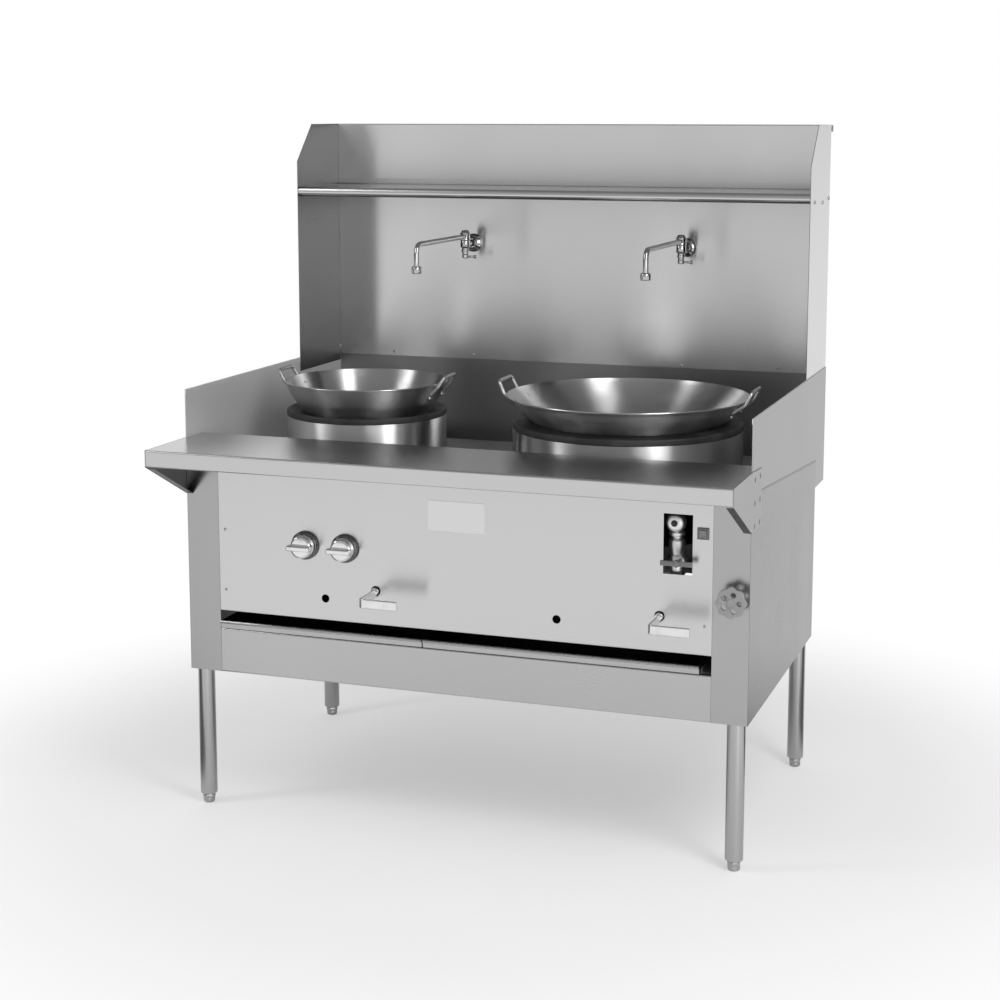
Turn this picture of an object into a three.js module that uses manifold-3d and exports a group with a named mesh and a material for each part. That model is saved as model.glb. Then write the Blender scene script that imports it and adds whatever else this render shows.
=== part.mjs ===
// A two-chamber gas wok range on tube legs: a folded-sheet cabinet with a front work ledge, a sloping
// deck that drains into a rear gutter, a tall back guard with an overshelf and two swing faucets.
// Millimetres. X runs to the right, Y to the back, Z up from the floor. While it is drawn, Y is counted
// from the cabinet's front face; the whole group is then moved so that its origin is on the floor at
// the centre of the outline.
import * as THREE from 'three';
import { mergeVertices } from 'three/addons/utils/BufferGeometryUtils.js';
import Module from 'manifold-3d';

const wasm = await Module();
wasm.setup();

// ---------------------------------------------------------------- driving dimensions

const WIDTH = 1371.6; // over the side sheets, 54 in
const CABINET_DEPTH = 787; // front sheet to back sheet
const GUTTER_WIDTH = 121; // the trough stands behind the cabinet
const CABINET_BOTTOM = 342;
const LEDGE_HEIGHT = 911;
const LEDGE_REACH = 193; // ahead of the cabinet's front face
const LEDGE_REAR = 80;
const LEDGE_LIP = 39.5;
const BRACKET_HEIGHT = 136;
const BRACKET_TAIL = 95;
const SPLASH_TOP = 1027;
const DECK_FRONT = 858;
const DECK_REAR = 803;
const GUTTER_BOTTOM = 733.5;
const RISER_TOP = 1030;
const GUARD_BOTTOM = 1008;
const GUARD_TOP = 1647.5;
const GUARD_FLANGE = 44.6; // top of the guard, turned to the back
const WING_DEPTH = 270;
const WING_FOOT = 990;
const WING_CUT_DEPTH = 94;
const WING_CUT_HEIGHT = 97.5;
const SHELF_HEIGHT = 1483;
const SHELF_NOSE = 12.5; // radius of the rolled front edge
const POST_WIDTH = 83;
const SLOT_TOP = 493; // the open slot between the control panel and the drip trays
const APRON_TOP = 449;
const APRON_HEM = 25;
const TRAY_TOP = 469;
const TRAY_WALL = 18.5;
const TRAY_DEPTH = 700;
const LEFT_TRAY_WIDTH = 520;
const LEFT_TRAY_INSET = 83.8;
const RIGHT_TRAY_INSET = 110.8;
const LEG_RADIUS = 20.65; // 1 5/8 in tube
const LEG_INSET = 29.2;
const FRONT_LEG_Y = 21.6;
const REAR_LEG_FROM_BACK = 31.7;
const FOOT_HEIGHT = 24;
const FOOT_RADIUS = 15.5;
const FOOT_TRAVEL = 25;
const SHEET = 1.5;
const BEND = 3; // bend radius on the face that is drawn
const GAP = 0.3; // between pieces that touch
const RUN = 0.6; // between pieces that slide on each other
const FRAME_BAR = 3; // thickness of the base angles
const FRAME_HEIGHT = 40;
const FRAME_FLANGE = 25;
const CHAMBER_Y = 390;
const CHAMBER_TOP = 928;
const CHAMBER_BOTTOM = 695;
const WOK_WALL = 1.6;
const MANIFOLD_Y = 60;
const MANIFOLD_ABOVE_LEVER = 53;
const KNOB_ABOVE_MANIFOLD = 43;
const TEE_ABOVE_MANIFOLD = 75;
const HEAD_ABOVE_TEE = 82;
const MANIFOLD_RADIUS = 16.7; // 1 in pipe
const PIPE_RADIUS = 13.4; // 3/4 in pipe
const VALVE_BACK = 34; // behind the manifold's axis
const FEED_STRAIGHT = 76;
const FEED_BEND = 45;
const INLET_PAST_BACK = 62;
const LEVER_HEIGHT = 575;
const LEVER_REACH = 100;
const LEVER_BAR = 92;
const SHUTOFF_INSET = 33.8;
const FAUCET_BELOW_SHELF = 135;
const FAUCET_STAND_OFF = 66; // wall to the swing axis
const SPOUT_REACH = 355;
const SPOUT_DROP = 73;
const SPOUT_BEND = 24;
const DRAIN_INSET = 125.8;

const BURNER_CLEARANCE = 31; // between a burner and the edge of the chamber's floor
const SMALL_CHAMBER_INSET = 302.8;
const SMALL_CHAMBER_RADIUS = 200.5;
const SMALL_SEAT_INSET = 41.5; // chamber's radius less the seat's
const SMALL_SEAT_RISE = 8;
const SMALL_WOK_RADIUS = 202; // 16 in wok
const SMALL_WOK_DEPTH = 145;
const SMALL_LOOP_WIDTH = 84;
const SMALL_LOOP_RISE = 20;
const SMALL_BURNER_RADIUS = 88;
const SMALL_VALVE_REACH = 185.4; // from its chamber's axis
const SMALL_PILOT_INSET = 309.8;
const LARGE_CHAMBER_INSET = 387.3;
const LARGE_CHAMBER_RADIUS = 277;
const LARGE_SEAT_INSET = 44;
const LARGE_SEAT_RISE = 18;
const LARGE_WOK_RADIUS = 290; // 23 in wok
const LARGE_WOK_DEPTH = 141;
const LARGE_LOOP_WIDTH = 100;
const LARGE_LOOP_RISE = 26;
const LARGE_BURNER_RADIUS = 132;
const LARGE_VALVE_INSET = 202.2;
const LARGE_PILOT_INSET = 411.8;
const LEFT_FAUCET_INSET = 402.8;
const RIGHT_FAUCET_INSET = 371.8;
const SAFETY_INSET = 172.8;
const TEE_OFFSET = 14; // from the safety valve's axis to the cross handle's
const WINDOW_WIDTH = 66;
const IGNITER_INSET = 105.8;
const IGNITER_SIZE = 26;
const IGNITER_BARREL = 20;
const IGNITER_BUTTON = 16;
const LEFT_LIGHTING_INSET = 359.8;
const RIGHT_LIGHTING_INSET = 441.3;
const LIGHTING_BELOW_LEVER = 29;

// ---------------------------------------------------------------- planes that follow from them

const HALF = WIDTH / 2;
const SKIN_INSIDE = HALF - SHEET; // inner face of the side sheets
const INNER_HALF = SKIN_INSIDE - GAP; // what stands between them
const WING_INSIDE = INNER_HALF - SHEET;
const GUARD_HALF = WING_INSIDE - GAP;
const BACK = CABINET_DEPTH + GUTTER_WIDTH;
const GUTTER_FRONT = CABINET_DEPTH + GAP;
const RISER_FACE = BACK - SHEET - GAP;
const GUARD_FACE = RISER_FACE - GAP - SHEET;
const POST_EDGE = HALF - POST_WIDTH;
const JOGGLE = SHEET + GAP; // the posts' inner flange lies behind the front sheets
const FLANGE_BACK = JOGGLE + SHEET;
const FLANGE_EDGE = POST_EDGE - 38;
const LEFT_TRAY_EDGE = -HALF + LEFT_TRAY_INSET;
const RIGHT_TRAY_EDGE = HALF - RIGHT_TRAY_INSET;
const SHUTOFF_X = HALF - SHUTOFF_INSET;
const DRAIN_X = -HALF + DRAIN_INSET;
const SMALL_CHAMBER_X = -HALF + SMALL_CHAMBER_INSET;
const LARGE_CHAMBER_X = HALF - LARGE_CHAMBER_INSET;
const SMALL_PILOT_X = -HALF + SMALL_PILOT_INSET;
const LARGE_PILOT_X = -HALF + LARGE_PILOT_INSET;
const LARGE_VALVE_X = HALF - LARGE_VALVE_INSET;
const LEFT_FAUCET_X = -HALF + LEFT_FAUCET_INSET;
const RIGHT_FAUCET_X = HALF - RIGHT_FAUCET_INSET;
const SAFETY_X = HALF - SAFETY_INSET;
const TEE_X = SAFETY_X + TEE_OFFSET;
const IGNITER_X = HALF - IGNITER_INSET;
const LEFT_LIGHTING_X = -HALF + LEFT_LIGHTING_INSET;
const RIGHT_LIGHTING_X = HALF - RIGHT_LIGHTING_INSET;
const SMALL_VALVE_X = SMALL_CHAMBER_X + SMALL_VALVE_REACH;
const TRAY_SPLIT = LEFT_TRAY_EDGE + LEFT_TRAY_WIDTH; // the seam between the two trays
const CABINET_BACK = CABINET_DEPTH - SHEET - GAP; // rear face of the back sheet
const TRAY_BOTTOM = TRAY_TOP - TRAY_WALL;
const FRAME_BOTTOM = CABINET_BOTTOM + SHEET + GAP;
const UNDER_LEDGE = LEDGE_HEIGHT - SHEET - GAP;
const MANIFOLD_HEIGHT = LEVER_HEIGHT + MANIFOLD_ABOVE_LEVER;
const KNOB_HEIGHT = MANIFOLD_HEIGHT + KNOB_ABOVE_MANIFOLD;
const TEE_HEIGHT = MANIFOLD_HEIGHT + TEE_ABOVE_MANIFOLD;
const HEAD_HEIGHT = TEE_HEIGHT + HEAD_ABOVE_TEE;
const FAUCET_HEIGHT = SHELF_HEIGHT - FAUCET_BELOW_SHELF;
const WALL_X = new THREE.Vector3(1, 0, 0);
const WALL_Y = new THREE.Vector3(0, 1, 0);
const WALL_Z = new THREE.Vector3(0, 0, 1);

const STATIONS = [
  {
    side: 'left', x: SMALL_CHAMBER_X, radius: SMALL_CHAMBER_RADIUS, burnerRadius: SMALL_BURNER_RADIUS,
    seatRadius: SMALL_CHAMBER_RADIUS - SMALL_SEAT_INSET, seatHeight: SMALL_SEAT_RISE,
    wokRadius: SMALL_WOK_RADIUS, wokDepth: SMALL_WOK_DEPTH, handleWidth: SMALL_LOOP_WIDTH,
    handleRise: SMALL_LOOP_RISE, jets: [1, 5, 9], valveX: SMALL_VALVE_X, pilotX: SMALL_PILOT_X,
  },
  {
    side: 'right', x: LARGE_CHAMBER_X, radius: LARGE_CHAMBER_RADIUS, burnerRadius: LARGE_BURNER_RADIUS,
    seatRadius: LARGE_CHAMBER_RADIUS - LARGE_SEAT_INSET, seatHeight: LARGE_SEAT_RISE,
    wokRadius: LARGE_WOK_RADIUS, wokDepth: LARGE_WOK_DEPTH, handleWidth: LARGE_LOOP_WIDTH,
    handleRise: LARGE_LOOP_RISE, jets: [1, 6, 11], valveX: LARGE_VALVE_X, pilotX: LARGE_PILOT_X,
  },
];
const FAUCETS = [{ side: 'left', x: LEFT_FAUCET_X }, { side: 'right', x: RIGHT_FAUCET_X }];
const WINDOW = {
  left: SAFETY_X - 22.5, right: SAFETY_X - 22.5 + WINDOW_WIDTH,
  bottom: TEE_HEIGHT - 31, top: HEAD_HEIGHT + 23,
};
const IGNITER_HEIGHT = HEAD_HEIGHT - 16.5;

// Top face of the sloping deck, which is also the seam between side panel and splash.
function deckAt(y) {
  return DECK_FRONT + ((DECK_REAR - DECK_FRONT) * (y - LEDGE_REAR)) / (CABINET_DEPTH - LEDGE_REAR);
}

// ---------------------------------------------------------------- materials

const metal = (color, roughness, metalness = 1) =>
  new THREE.MeshStandardMaterial({ color, roughness, metalness });
const brushed = metal(0xc4c6c8, 0.34);
const polished = metal(0xd2d3d4, 0.16);
const chrome = metal(0xe2e3e4, 0.08);
const iron = metal(0x1d1d1e, 0.55, 0.6);
const pipeSteel = metal(0x77787a, 0.5);
const brass = metal(0xb2965a, 0.35);
const grey = metal(0x8a8b8c, 0.5, 0.2);
const black = metal(0x232324, 0.5, 0);

// ---------------------------------------------------------------- solids

// A closed geometry as a solid. Mirrored or backward profiles come in inside out and are turned.
function solidOf(geometry) {
  const bare = geometry.index ? geometry.toNonIndexed() : geometry.clone();
  bare.deleteAttribute('normal');
  bare.deleteAttribute('uv');
  const merged = mergeVertices(bare, 1e-3);
  const vertProperties = new Float32Array(merged.attributes.position.array);
  const triVerts = new Uint32Array(merged.index.array);
  const made = new wasm.Manifold(new wasm.Mesh({ numProp: 3, vertProperties, triVerts }));
  if (made.volume() > 0) return made;
  for (let i = 0; i < triVerts.length; i += 3) {
    [triVerts[i + 1], triVerts[i + 2]] = [triVerts[i + 2], triVerts[i + 1]];
  }
  return new wasm.Manifold(new wasm.Mesh({ numProp: 3, vertProperties, triVerts }));
}

function geometryOf(solid) {
  const { vertProperties, triVerts } = solid.getMesh();
  const geometry = new THREE.BufferGeometry();
  geometry.setAttribute('position', new THREE.BufferAttribute(new Float32Array(vertProperties), 3));
  geometry.setIndex(new THREE.BufferAttribute(new Uint32Array(triVerts), 1));
  const faceted = geometry.toNonIndexed();
  faceted.computeVertexNormals();
  return faceted;
}

const fused = (...solids) => solids.reduce((whole, piece) => whole.add(piece));
const cut = (solid, ...tools) => tools.reduce((rest, tool) => rest.subtract(tool), solid);

function movedBy(solid, x, y, z) {
  return solidOf(geometryOf(solid).translate(x, y, z));
}

function mirrored(solid) {
  return solidOf(geometryOf(solid).scale(-1, 1, 1));
}

function box(x0, x1, y0, y1, z0, z1) {
  const geometry = new THREE.BoxGeometry(x1 - x0, y1 - y0, z1 - z0);
  return solidOf(geometry.translate((x0 + x1) / 2, (y0 + y1) / 2, (z0 + z1) / 2));
}

// An outline drawn in two axes and extruded along the third, from one position to another.
function extruded(outline, from, to, right, up, along) {
  const shape = new THREE.Shape(outline.map(([a, b]) => new THREE.Vector2(a, b)));
  const geometry = new THREE.ExtrudeGeometry(shape, { depth: to - from, bevelEnabled: false });
  geometry.translate(0, 0, from);
  return solidOf(geometry.applyMatrix4(new THREE.Matrix4().makeBasis(right, up, along)));
}

const alongX = (outlineYZ, x0, x1) => extruded(outlineYZ, x0, x1, WALL_Y, WALL_Z, WALL_X);
const alongY = (outlineXZ, y0, y1) => extruded(outlineXZ, y0, y1, WALL_X, WALL_Z, WALL_Y);
const alongZ = (outlineXY, z0, z1) => extruded(outlineXY, z0, z1, WALL_X, WALL_Y, WALL_Z);

// The outline of a folded sheet. The corners are on one face, and the sheet lies to the left of the
// way they go; each fold is an arc of one radius.
function foldedSheet(corners, thickness = SHEET, radius = BEND, steps = 3) {
  const points = corners.map(([a, b]) => new THREE.Vector2(a, b));
  const leftOf = (d) => new THREE.Vector2(-d.y, d.x);
  const face = [];
  points.forEach((point, i) => {
    const into = i > 0 ? point.clone().sub(points[i - 1]).normalize() : null;
    const out = i < points.length - 1 ? points[i + 1].clone().sub(point).normalize() : null;
    if (!into || !out) {
      face.push([point, leftOf(into || out)]);
      return;
    }
    const turn = Math.atan2(into.cross(out), into.dot(out));
    const hand = Math.sign(turn);
    const start = point.clone().addScaledVector(into, -radius * Math.tan(Math.abs(turn) / 2));
    const centre = start.clone().addScaledVector(leftOf(into), hand * radius);
    for (let k = 0; k <= steps; k++) {
      const normal = leftOf(into).rotateAround(new THREE.Vector2(), (turn * k) / steps);
      face.push([centre.clone().addScaledVector(normal, -hand * radius), normal]);
    }
  });
  const other = face.map(([point, normal]) => point.clone().addScaledVector(normal, thickness));
  return [...face.map(([point]) => point), ...other.reverse()].map((p) => [p.x, p.y]);
}

// A ring of points: a circle, or a hexagon with six sides.
function ring(x, y, radius, sides = 16) {
  return Array.from({ length: sides }, (_, i) => {
    const angle = (2 * Math.PI * i) / sides;
    return [x + radius * Math.cos(angle), y + radius * Math.sin(angle)];
  });
}

const rodX = (y, z, radius, x0, x1, sides) => alongX(ring(y, z, radius, sides), x0, x1);
const rodY = (x, z, radius, y0, y1, sides) => alongY(ring(x, z, radius, sides), y0, y1);
const rodZ = (x, y, radius, z0, z1, sides) => alongZ(ring(x, y, radius, sides), z0, z1);

// A profile of [radius, height] turned about the Z axis, then moved to its place.
function turned(profile, x = 0, y = 0, sides = 32) {
  const points = profile.map(([r, z]) => new THREE.Vector2(r, z));
  if (profile[0][0] > 0) points.push(points[0].clone());
  const geometry = new THREE.LatheGeometry(points, sides).rotateX(Math.PI / 2);
  return solidOf(geometry.translate(x, y, 0));
}

// The same profile turned about a horizontal axis: its height is how far it stands ahead of y = front.
function turnedForward(profile, x, front, z, sides = 20) {
  const points = profile.map(([r, out]) => new THREE.Vector2(r, -out));
  if (profile[0][0] > 0) points.push(points[0].clone());
  return solidOf(new THREE.LatheGeometry(points, sides).translate(x, front, z));
}

// A bent bar's centre line: straight runs, and an arc at each corner. It is sampled only where it
// has to be, at the ends of the runs and along the arcs.
class BentLine extends THREE.Curve {
  constructor(corners, radius, bendSteps = 4) {
    super();
    const points = corners.map((corner) => new THREE.Vector3(...corner));
    this.stations = [];
    points.forEach((point, i) => {
      const into = i > 0 ? point.clone().sub(points[i - 1]).normalize() : null;
      const out = i < points.length - 1 ? points[i + 1].clone().sub(point).normalize() : null;
      if (!into || !out) {
        this.stations.push([point, into || out]);
        return;
      }
      const turn = into.angleTo(out);
      const axis = into.clone().cross(out).normalize();
      const toCentre = axis.clone().cross(into).multiplyScalar(radius);
      const start = point.clone().addScaledVector(into, -radius * Math.tan(turn / 2));
      const centre = start.clone().add(toCentre);
      for (let k = 0; k <= bendSteps; k++) {
        const angle = (turn * k) / bendSteps;
        const arm = toCentre.clone().negate().applyAxisAngle(axis, angle);
        this.stations.push([centre.clone().add(arm), into.clone().applyAxisAngle(axis, angle)]);
      }
    });
    this.steps = this.stations.length - 1;
  }
  station(t) {
    return this.stations[Math.round(t * this.steps)];
  }
  getUtoTmapping(u) {
    return u;
  }
  getPoint(t, target = new THREE.Vector3()) {
    return target.copy(this.station(t)[0]);
  }
  getTangent(t, target = new THREE.Vector3()) {
    return target.copy(this.station(t)[1]);
  }
}

// A bar of any section swept along a bent line.
function bentBar(corners, bendRadius, section, bendSteps = 4) {
  const line = new BentLine(corners, bendRadius, bendSteps);
  const shape = new THREE.Shape(section.map(([a, b]) => new THREE.Vector2(a, b)));
  return solidOf(new THREE.ExtrudeGeometry(shape, { steps: line.steps, extrudePath: line }));
}

const bentTube = (corners, bendRadius, radius, sides = 10, bendSteps = 4) =>
  bentBar(corners, bendRadius, ring(0, 0, radius, sides), bendSteps);

function rectangle(width, height) {
  const [x, y] = [width / 2, height / 2];
  return [[-x, -y], [x, -y], [x, y], [-x, y]];
}

// ---------------------------------------------------------------- assembly

const range = new THREE.Group();
const outlineFront = -LEDGE_REACH;
const outlineBack = GUARD_FACE + GUARD_FLANGE;
const body = new THREE.Group();
body.position.y = -(outlineFront + outlineBack) / 2;
range.add(body);

function place(name, solid, material, x = 0, y = 0, z = 0) {
  const mesh = new THREE.Mesh(geometryOf(solid), material);
  mesh.name = name;
  mesh.position.set(x, y, z);
  body.add(mesh);
}

function placePair(name, rightSolid, material) {
  place(`${name}_right`, rightSolid, material);
  place(`${name}_left`, mirrored(rightSolid), material);
}

// ---------------------------------------------------------------- legs and base

const legPlaces = [
  ['front_left', -HALF + LEG_INSET, FRONT_LEG_Y],
  ['front_right', HALF - LEG_INSET, FRONT_LEG_Y],
  ['rear_left', -HALF + LEG_INSET, CABINET_DEPTH - REAR_LEG_FROM_BACK],
  ['rear_right', HALF - LEG_INSET, CABINET_DEPTH - REAR_LEG_FROM_BACK],
];
const legTop = CABINET_BOTTOM - GAP;
const legBore = LEG_RADIUS - SHEET;
const stemRadius = 8;

// Tube with a threaded plug in its lower end for the foot.
function leg() {
  const plugTop = FOOT_HEIGHT + 14;
  return turned([
    [LEG_RADIUS - SHEET, FOOT_HEIGHT], [LEG_RADIUS, FOOT_HEIGHT + 4], [LEG_RADIUS, legTop],
    [legBore, legTop], [legBore, plugTop], [stemRadius + GAP, plugTop], [stemRadius + GAP, FOOT_HEIGHT],
  ], 0, 0, 20);
}

// Bullet foot on a stem that screws up into the leg.
function foot() {
  const top = FOOT_HEIGHT - GAP;
  const stemTop = top + FOOT_TRAVEL + 24;
  return turned([
    [0, 0], [FOOT_RADIUS - 5, 0], [FOOT_RADIUS - 1, 5], [FOOT_RADIUS, 9], [FOOT_RADIUS, top - 2],
    [FOOT_RADIUS - 2, top], [stemRadius, top], [stemRadius, stemTop], [0, stemTop],
  ], 0, 0, 16);
}

// A welded frame of angles round the cabinet's foot, with a plate and a spigot over each leg.
function baseFrame() {
  const front = FLANGE_BACK + GAP;
  const back = CABINET_BACK - SHEET - GAP;
  const top = FRAME_BOTTOM + FRAME_HEIGHT;
  const level = (inset, z0, z1) =>
    box(-INNER_HALF + inset, INNER_HALF - inset, front + inset, back - inset, z0, z1);
  const angles = cut(
    level(0, FRAME_BOTTOM, top),
    level(FRAME_BAR, FRAME_BOTTOM - 1, top - FRAME_BAR),
    level(FRAME_FLANGE, FRAME_BOTTOM, top + 1),
  );
  const half = FRAME_BAR / 2;
  const cross = alongY([
    [-half, FRAME_BOTTOM + 2], [half, FRAME_BOTTOM + 2], [half, top - FRAME_BAR - 1],
    [FRAME_FLANGE / 2, top - FRAME_BAR - 1], [FRAME_FLANGE / 2, top - 1], [-FRAME_FLANGE / 2, top - 1],
    [-FRAME_FLANGE / 2, top - FRAME_BAR - 1], [-half, top - FRAME_BAR - 1],
  ], front + 1, back - 1);
  const plate = 62;
  const weld = 1;
  const corners = legPlaces.map(([, x, y]) => {
    const [inner, outer] = [INNER_HALF - plate, INNER_HALF - weld];
    const inward = x < 0 ? [-outer, -inner] : [inner, outer];
    const depth = y < CABINET_DEPTH / 2 ? [front + weld, front + plate] : [back - plate, back - weld];
    const spigotRadius = legBore - GAP;
    const spigot = turned([
      [spigotRadius - FRAME_BAR, legTop - 56], [spigotRadius, legTop - 56], [spigotRadius, legTop + GAP],
      [LEG_RADIUS - 0.9, legTop + GAP], [LEG_RADIUS - 0.9, FRAME_BOTTOM + 2],
      [spigotRadius - FRAME_BAR, FRAME_BOTTOM + 2],
    ], x, y, 16);
    return fused(box(...inward, ...depth, FRAME_BOTTOM + weld, FRAME_BOTTOM + weld + FRAME_BAR), spigot);
  });
  return fused(angles, cross, ...corners);
}

legPlaces.forEach(([name, x, y]) => {
  place(`leg_${name}`, leg(), brushed, x, y);
  place(`foot_${name}`, foot(), pipeSteel, x, y);
});
place('base_frame', baseFrame(), pipeSteel);

// ---------------------------------------------------------------- cabinet sheets

const stemHole = 14;
const rearReturn = 15;
const apronReturn = 15;
const justBehind = SHEET + 0.1; // where cuts behind a front sheet begin

// One sheet from the joggled flange behind the front panel, round the post and down the side, to the
// return at the back. Its top follows the deck; the post's face goes on up to the ledge.
function sidePanel() {
  const flange = [[FLANGE_EDGE, JOGGLE], [FLANGE_EDGE, FLANGE_BACK], [POST_EDGE + SHEET, FLANGE_BACK]];
  const joggle = [[POST_EDGE, 0], [POST_EDGE, JOGGLE], ...flange, [POST_EDGE + SHEET, SHEET]];
  const wrap = [
    ...joggle, [SKIN_INSIDE, SHEET], [SKIN_INSIDE, CABINET_DEPTH - SHEET],
    [HALF - rearReturn, CABINET_DEPTH - SHEET], [HALF - rearReturn, CABINET_DEPTH],
    [HALF, CABINET_DEPTH], [HALF, 0],
  ];
  const face = [...joggle, [INNER_HALF, SHEET], [INNER_HALF, 0]];
  const aboveDeck = [
    [-1, deckAt(-1) - GAP], [CABINET_DEPTH + 1, deckAt(CABINET_DEPTH + 1) - GAP],
    [CABINET_DEPTH + 1, UNDER_LEDGE], [-1, UNDER_LEDGE],
  ];
  const wrapped = cut(alongZ(wrap, CABINET_BOTTOM, deckAt(0)), alongX(aboveDeck, FLANGE_EDGE - 1, HALF + 1));
  const behindPanel = (x1, z0, z1) => box(FLANGE_EDGE - 1, x1, justBehind, FLANGE_BACK + 1, z0, z1);
  const slot = behindPanel(POST_EDGE + SHEET + 0.1, APRON_TOP - 5, SLOT_TOP + 5);
  const underDeck = deckAt(CABINET_DEPTH) - SHEET - 2 * GAP;
  const deckEnd = box(
    HALF - rearReturn - 1, SKIN_INSIDE, CABINET_BACK, CABINET_DEPTH + 1, underDeck, DECK_FRONT,
  );
  return cut(fused(wrapped, alongZ(face, deckAt(0) - 8, UNDER_LEDGE)), slot, deckEnd);
}

// A front sheet with its upper and lower edges turned in, notched at its ends for the posts' flanges.
function frontSheet(bottom, top, topReturn, bottomReturn) {
  const half = POST_EDGE - RUN;
  const corners = [[topReturn, top], [0, top], [0, bottom], [bottomReturn, bottom]];
  const notch = (side) =>
    side > 0 ? box(FLANGE_EDGE - GAP, half + 1, justBehind, 60, bottom - 1, top + 1)
      : box(-half - 1, -FLANGE_EDGE + GAP, justBehind, 60, bottom - 1, top + 1);
  return cut(alongX(foldedSheet(corners), -half, half), notch(1), notch(-1));
}

// A square block about the igniter's axis.
function squareBlock(half, y0, y1) {
  return box(
    IGNITER_X - half, IGNITER_X + half, y0, y1, IGNITER_HEIGHT - half, IGNITER_HEIGHT + half,
  );
}

function controlPanel() {
  const round = (x, z, radius, sides) => rodY(x, z, radius, -5, 10, sides);
  const igniterHole = IGNITER_BARREL / 2 + GAP;
  return cut(
    frontSheet(SLOT_TOP, UNDER_LEDGE, 18, 18),
    ...STATIONS.map((station) => round(station.valveX, LEVER_HEIGHT, 12, 16)),
    ...STATIONS.map((station) => round(station.pilotX, KNOB_HEIGHT, 7, 14)),
    ...[LEFT_LIGHTING_X, RIGHT_LIGHTING_X].map((x) => round(x, LEVER_HEIGHT - LIGHTING_BELOW_LEVER, 10, 16)),
    box(WINDOW.left, WINDOW.right, -5, 10, WINDOW.bottom, WINDOW.top),
    squareBlock(igniterHole, -5, 10),
  );
}

function cabinetBack() {
  const top = deckAt(CABINET_DEPTH) - SHEET - 2 * GAP;
  const sheet = box(-INNER_HALF, INNER_HALF, CABINET_BACK - SHEET, CABINET_BACK, FRAME_BOTTOM, top);
  const through = [CABINET_BACK - 5, CABINET_BACK + 5];
  const pitch = INNER_HALF * 0.3;
  const vents = [-2, -1, 0, 1, 2].map((step) =>
    box(step * pitch - pitch * 0.3, step * pitch + pitch * 0.3, ...through, SLOT_TOP - 23, SLOT_TOP - 11));
  return cut(sheet, rodY(SHUTOFF_X, MANIFOLD_HEIGHT, PIPE_RADIUS + 2, ...through, 20), ...vents);
}

// The right-hand panel also lets the shut-off's stem and the igniter through.
const postHole = rodY(SHUTOFF_X, MANIFOLD_HEIGHT, stemHole / 2, -5, 10, 16);
const flangeNotch = squareBlock(IGNITER_BARREL / 2 + 4, justBehind, FLANGE_BACK + 1);
place('side_panel_right', cut(sidePanel(), postHole, flangeNotch), brushed);
place('side_panel_left', mirrored(sidePanel()), brushed);
place('control_panel', controlPanel(), brushed);
place('apron', frontSheet(CABINET_BOTTOM, APRON_TOP, apronReturn, APRON_HEM), brushed);
place('cabinet_back', cabinetBack(), brushed);

// ---------------------------------------------------------------- work ledge

function ledge() {
  const bottom = LEDGE_HEIGHT - LEDGE_LIP;
  const corners = [
    [LEDGE_REAR, deckAt(LEDGE_REAR) + 8], [LEDGE_REAR, LEDGE_HEIGHT], [-LEDGE_REACH, LEDGE_HEIGHT],
    [-LEDGE_REACH, bottom], [-LEDGE_REACH + 20, bottom],
  ];
  const behindSplash = (x0, x1) => box(x0, x1, -GAP, LEDGE_REAR + 1, DECK_FRONT, LEDGE_HEIGHT + 1);
  return cut(
    alongX(foldedSheet(corners, SHEET, 4, 4), -HALF, HALF),
    behindSplash(INNER_HALF, HALF + 1),
    behindSplash(-HALF - 1, -INNER_HALF),
  );
}

// The plate that closes the ledge's end, braces it to the cabinet, and is folded in along its slope.
function ledgeBracket() {
  const inside = HALF + GAP;
  const lip = LEDGE_HEIGHT - LEDGE_LIP;
  const heel = LEDGE_HEIGHT - BRACKET_HEIGHT;
  const tail = BRACKET_TAIL;
  const slope = (lip - heel) / LEDGE_REACH;
  const plate = [
    [-LEDGE_REACH, LEDGE_HEIGHT], [-LEDGE_REACH, lip], [0, heel], [tail, heel],
    [tail, LEDGE_HEIGHT - 6], [0, LEDGE_HEIGHT],
  ];
  const start = -LEDGE_REACH + 10;
  const end = -1;
  const onSlope = (y) => heel - slope * y + 0.4;
  const fold = [
    [start, onSlope(start)], [end, onSlope(end)],
    [end, onSlope(end) + SHEET], [start, onSlope(start) + SHEET],
  ];
  return fused(alongX(plate, inside, inside + SHEET), alongX(fold, HALF - 16, inside + 1));
}

place('ledge', ledge(), brushed);
placePair('ledge_bracket', ledgeBracket(), brushed);

// ---------------------------------------------------------------- drip trays

function dripTray(x0, x1) {
  const pan = cut(
    box(x0, x1, 0, TRAY_DEPTH, TRAY_BOTTOM, TRAY_TOP),
    box(x0 + SHEET, x1 - SHEET, SHEET, TRAY_DEPTH - SHEET, TRAY_BOTTOM + SHEET, TRAY_TOP + 1),
  );
  const rolledEdge = rodX(-2, TRAY_TOP - 3.5, 3.5, x0, x1, 12);
  return fused(pan, rolledEdge);
}

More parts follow.
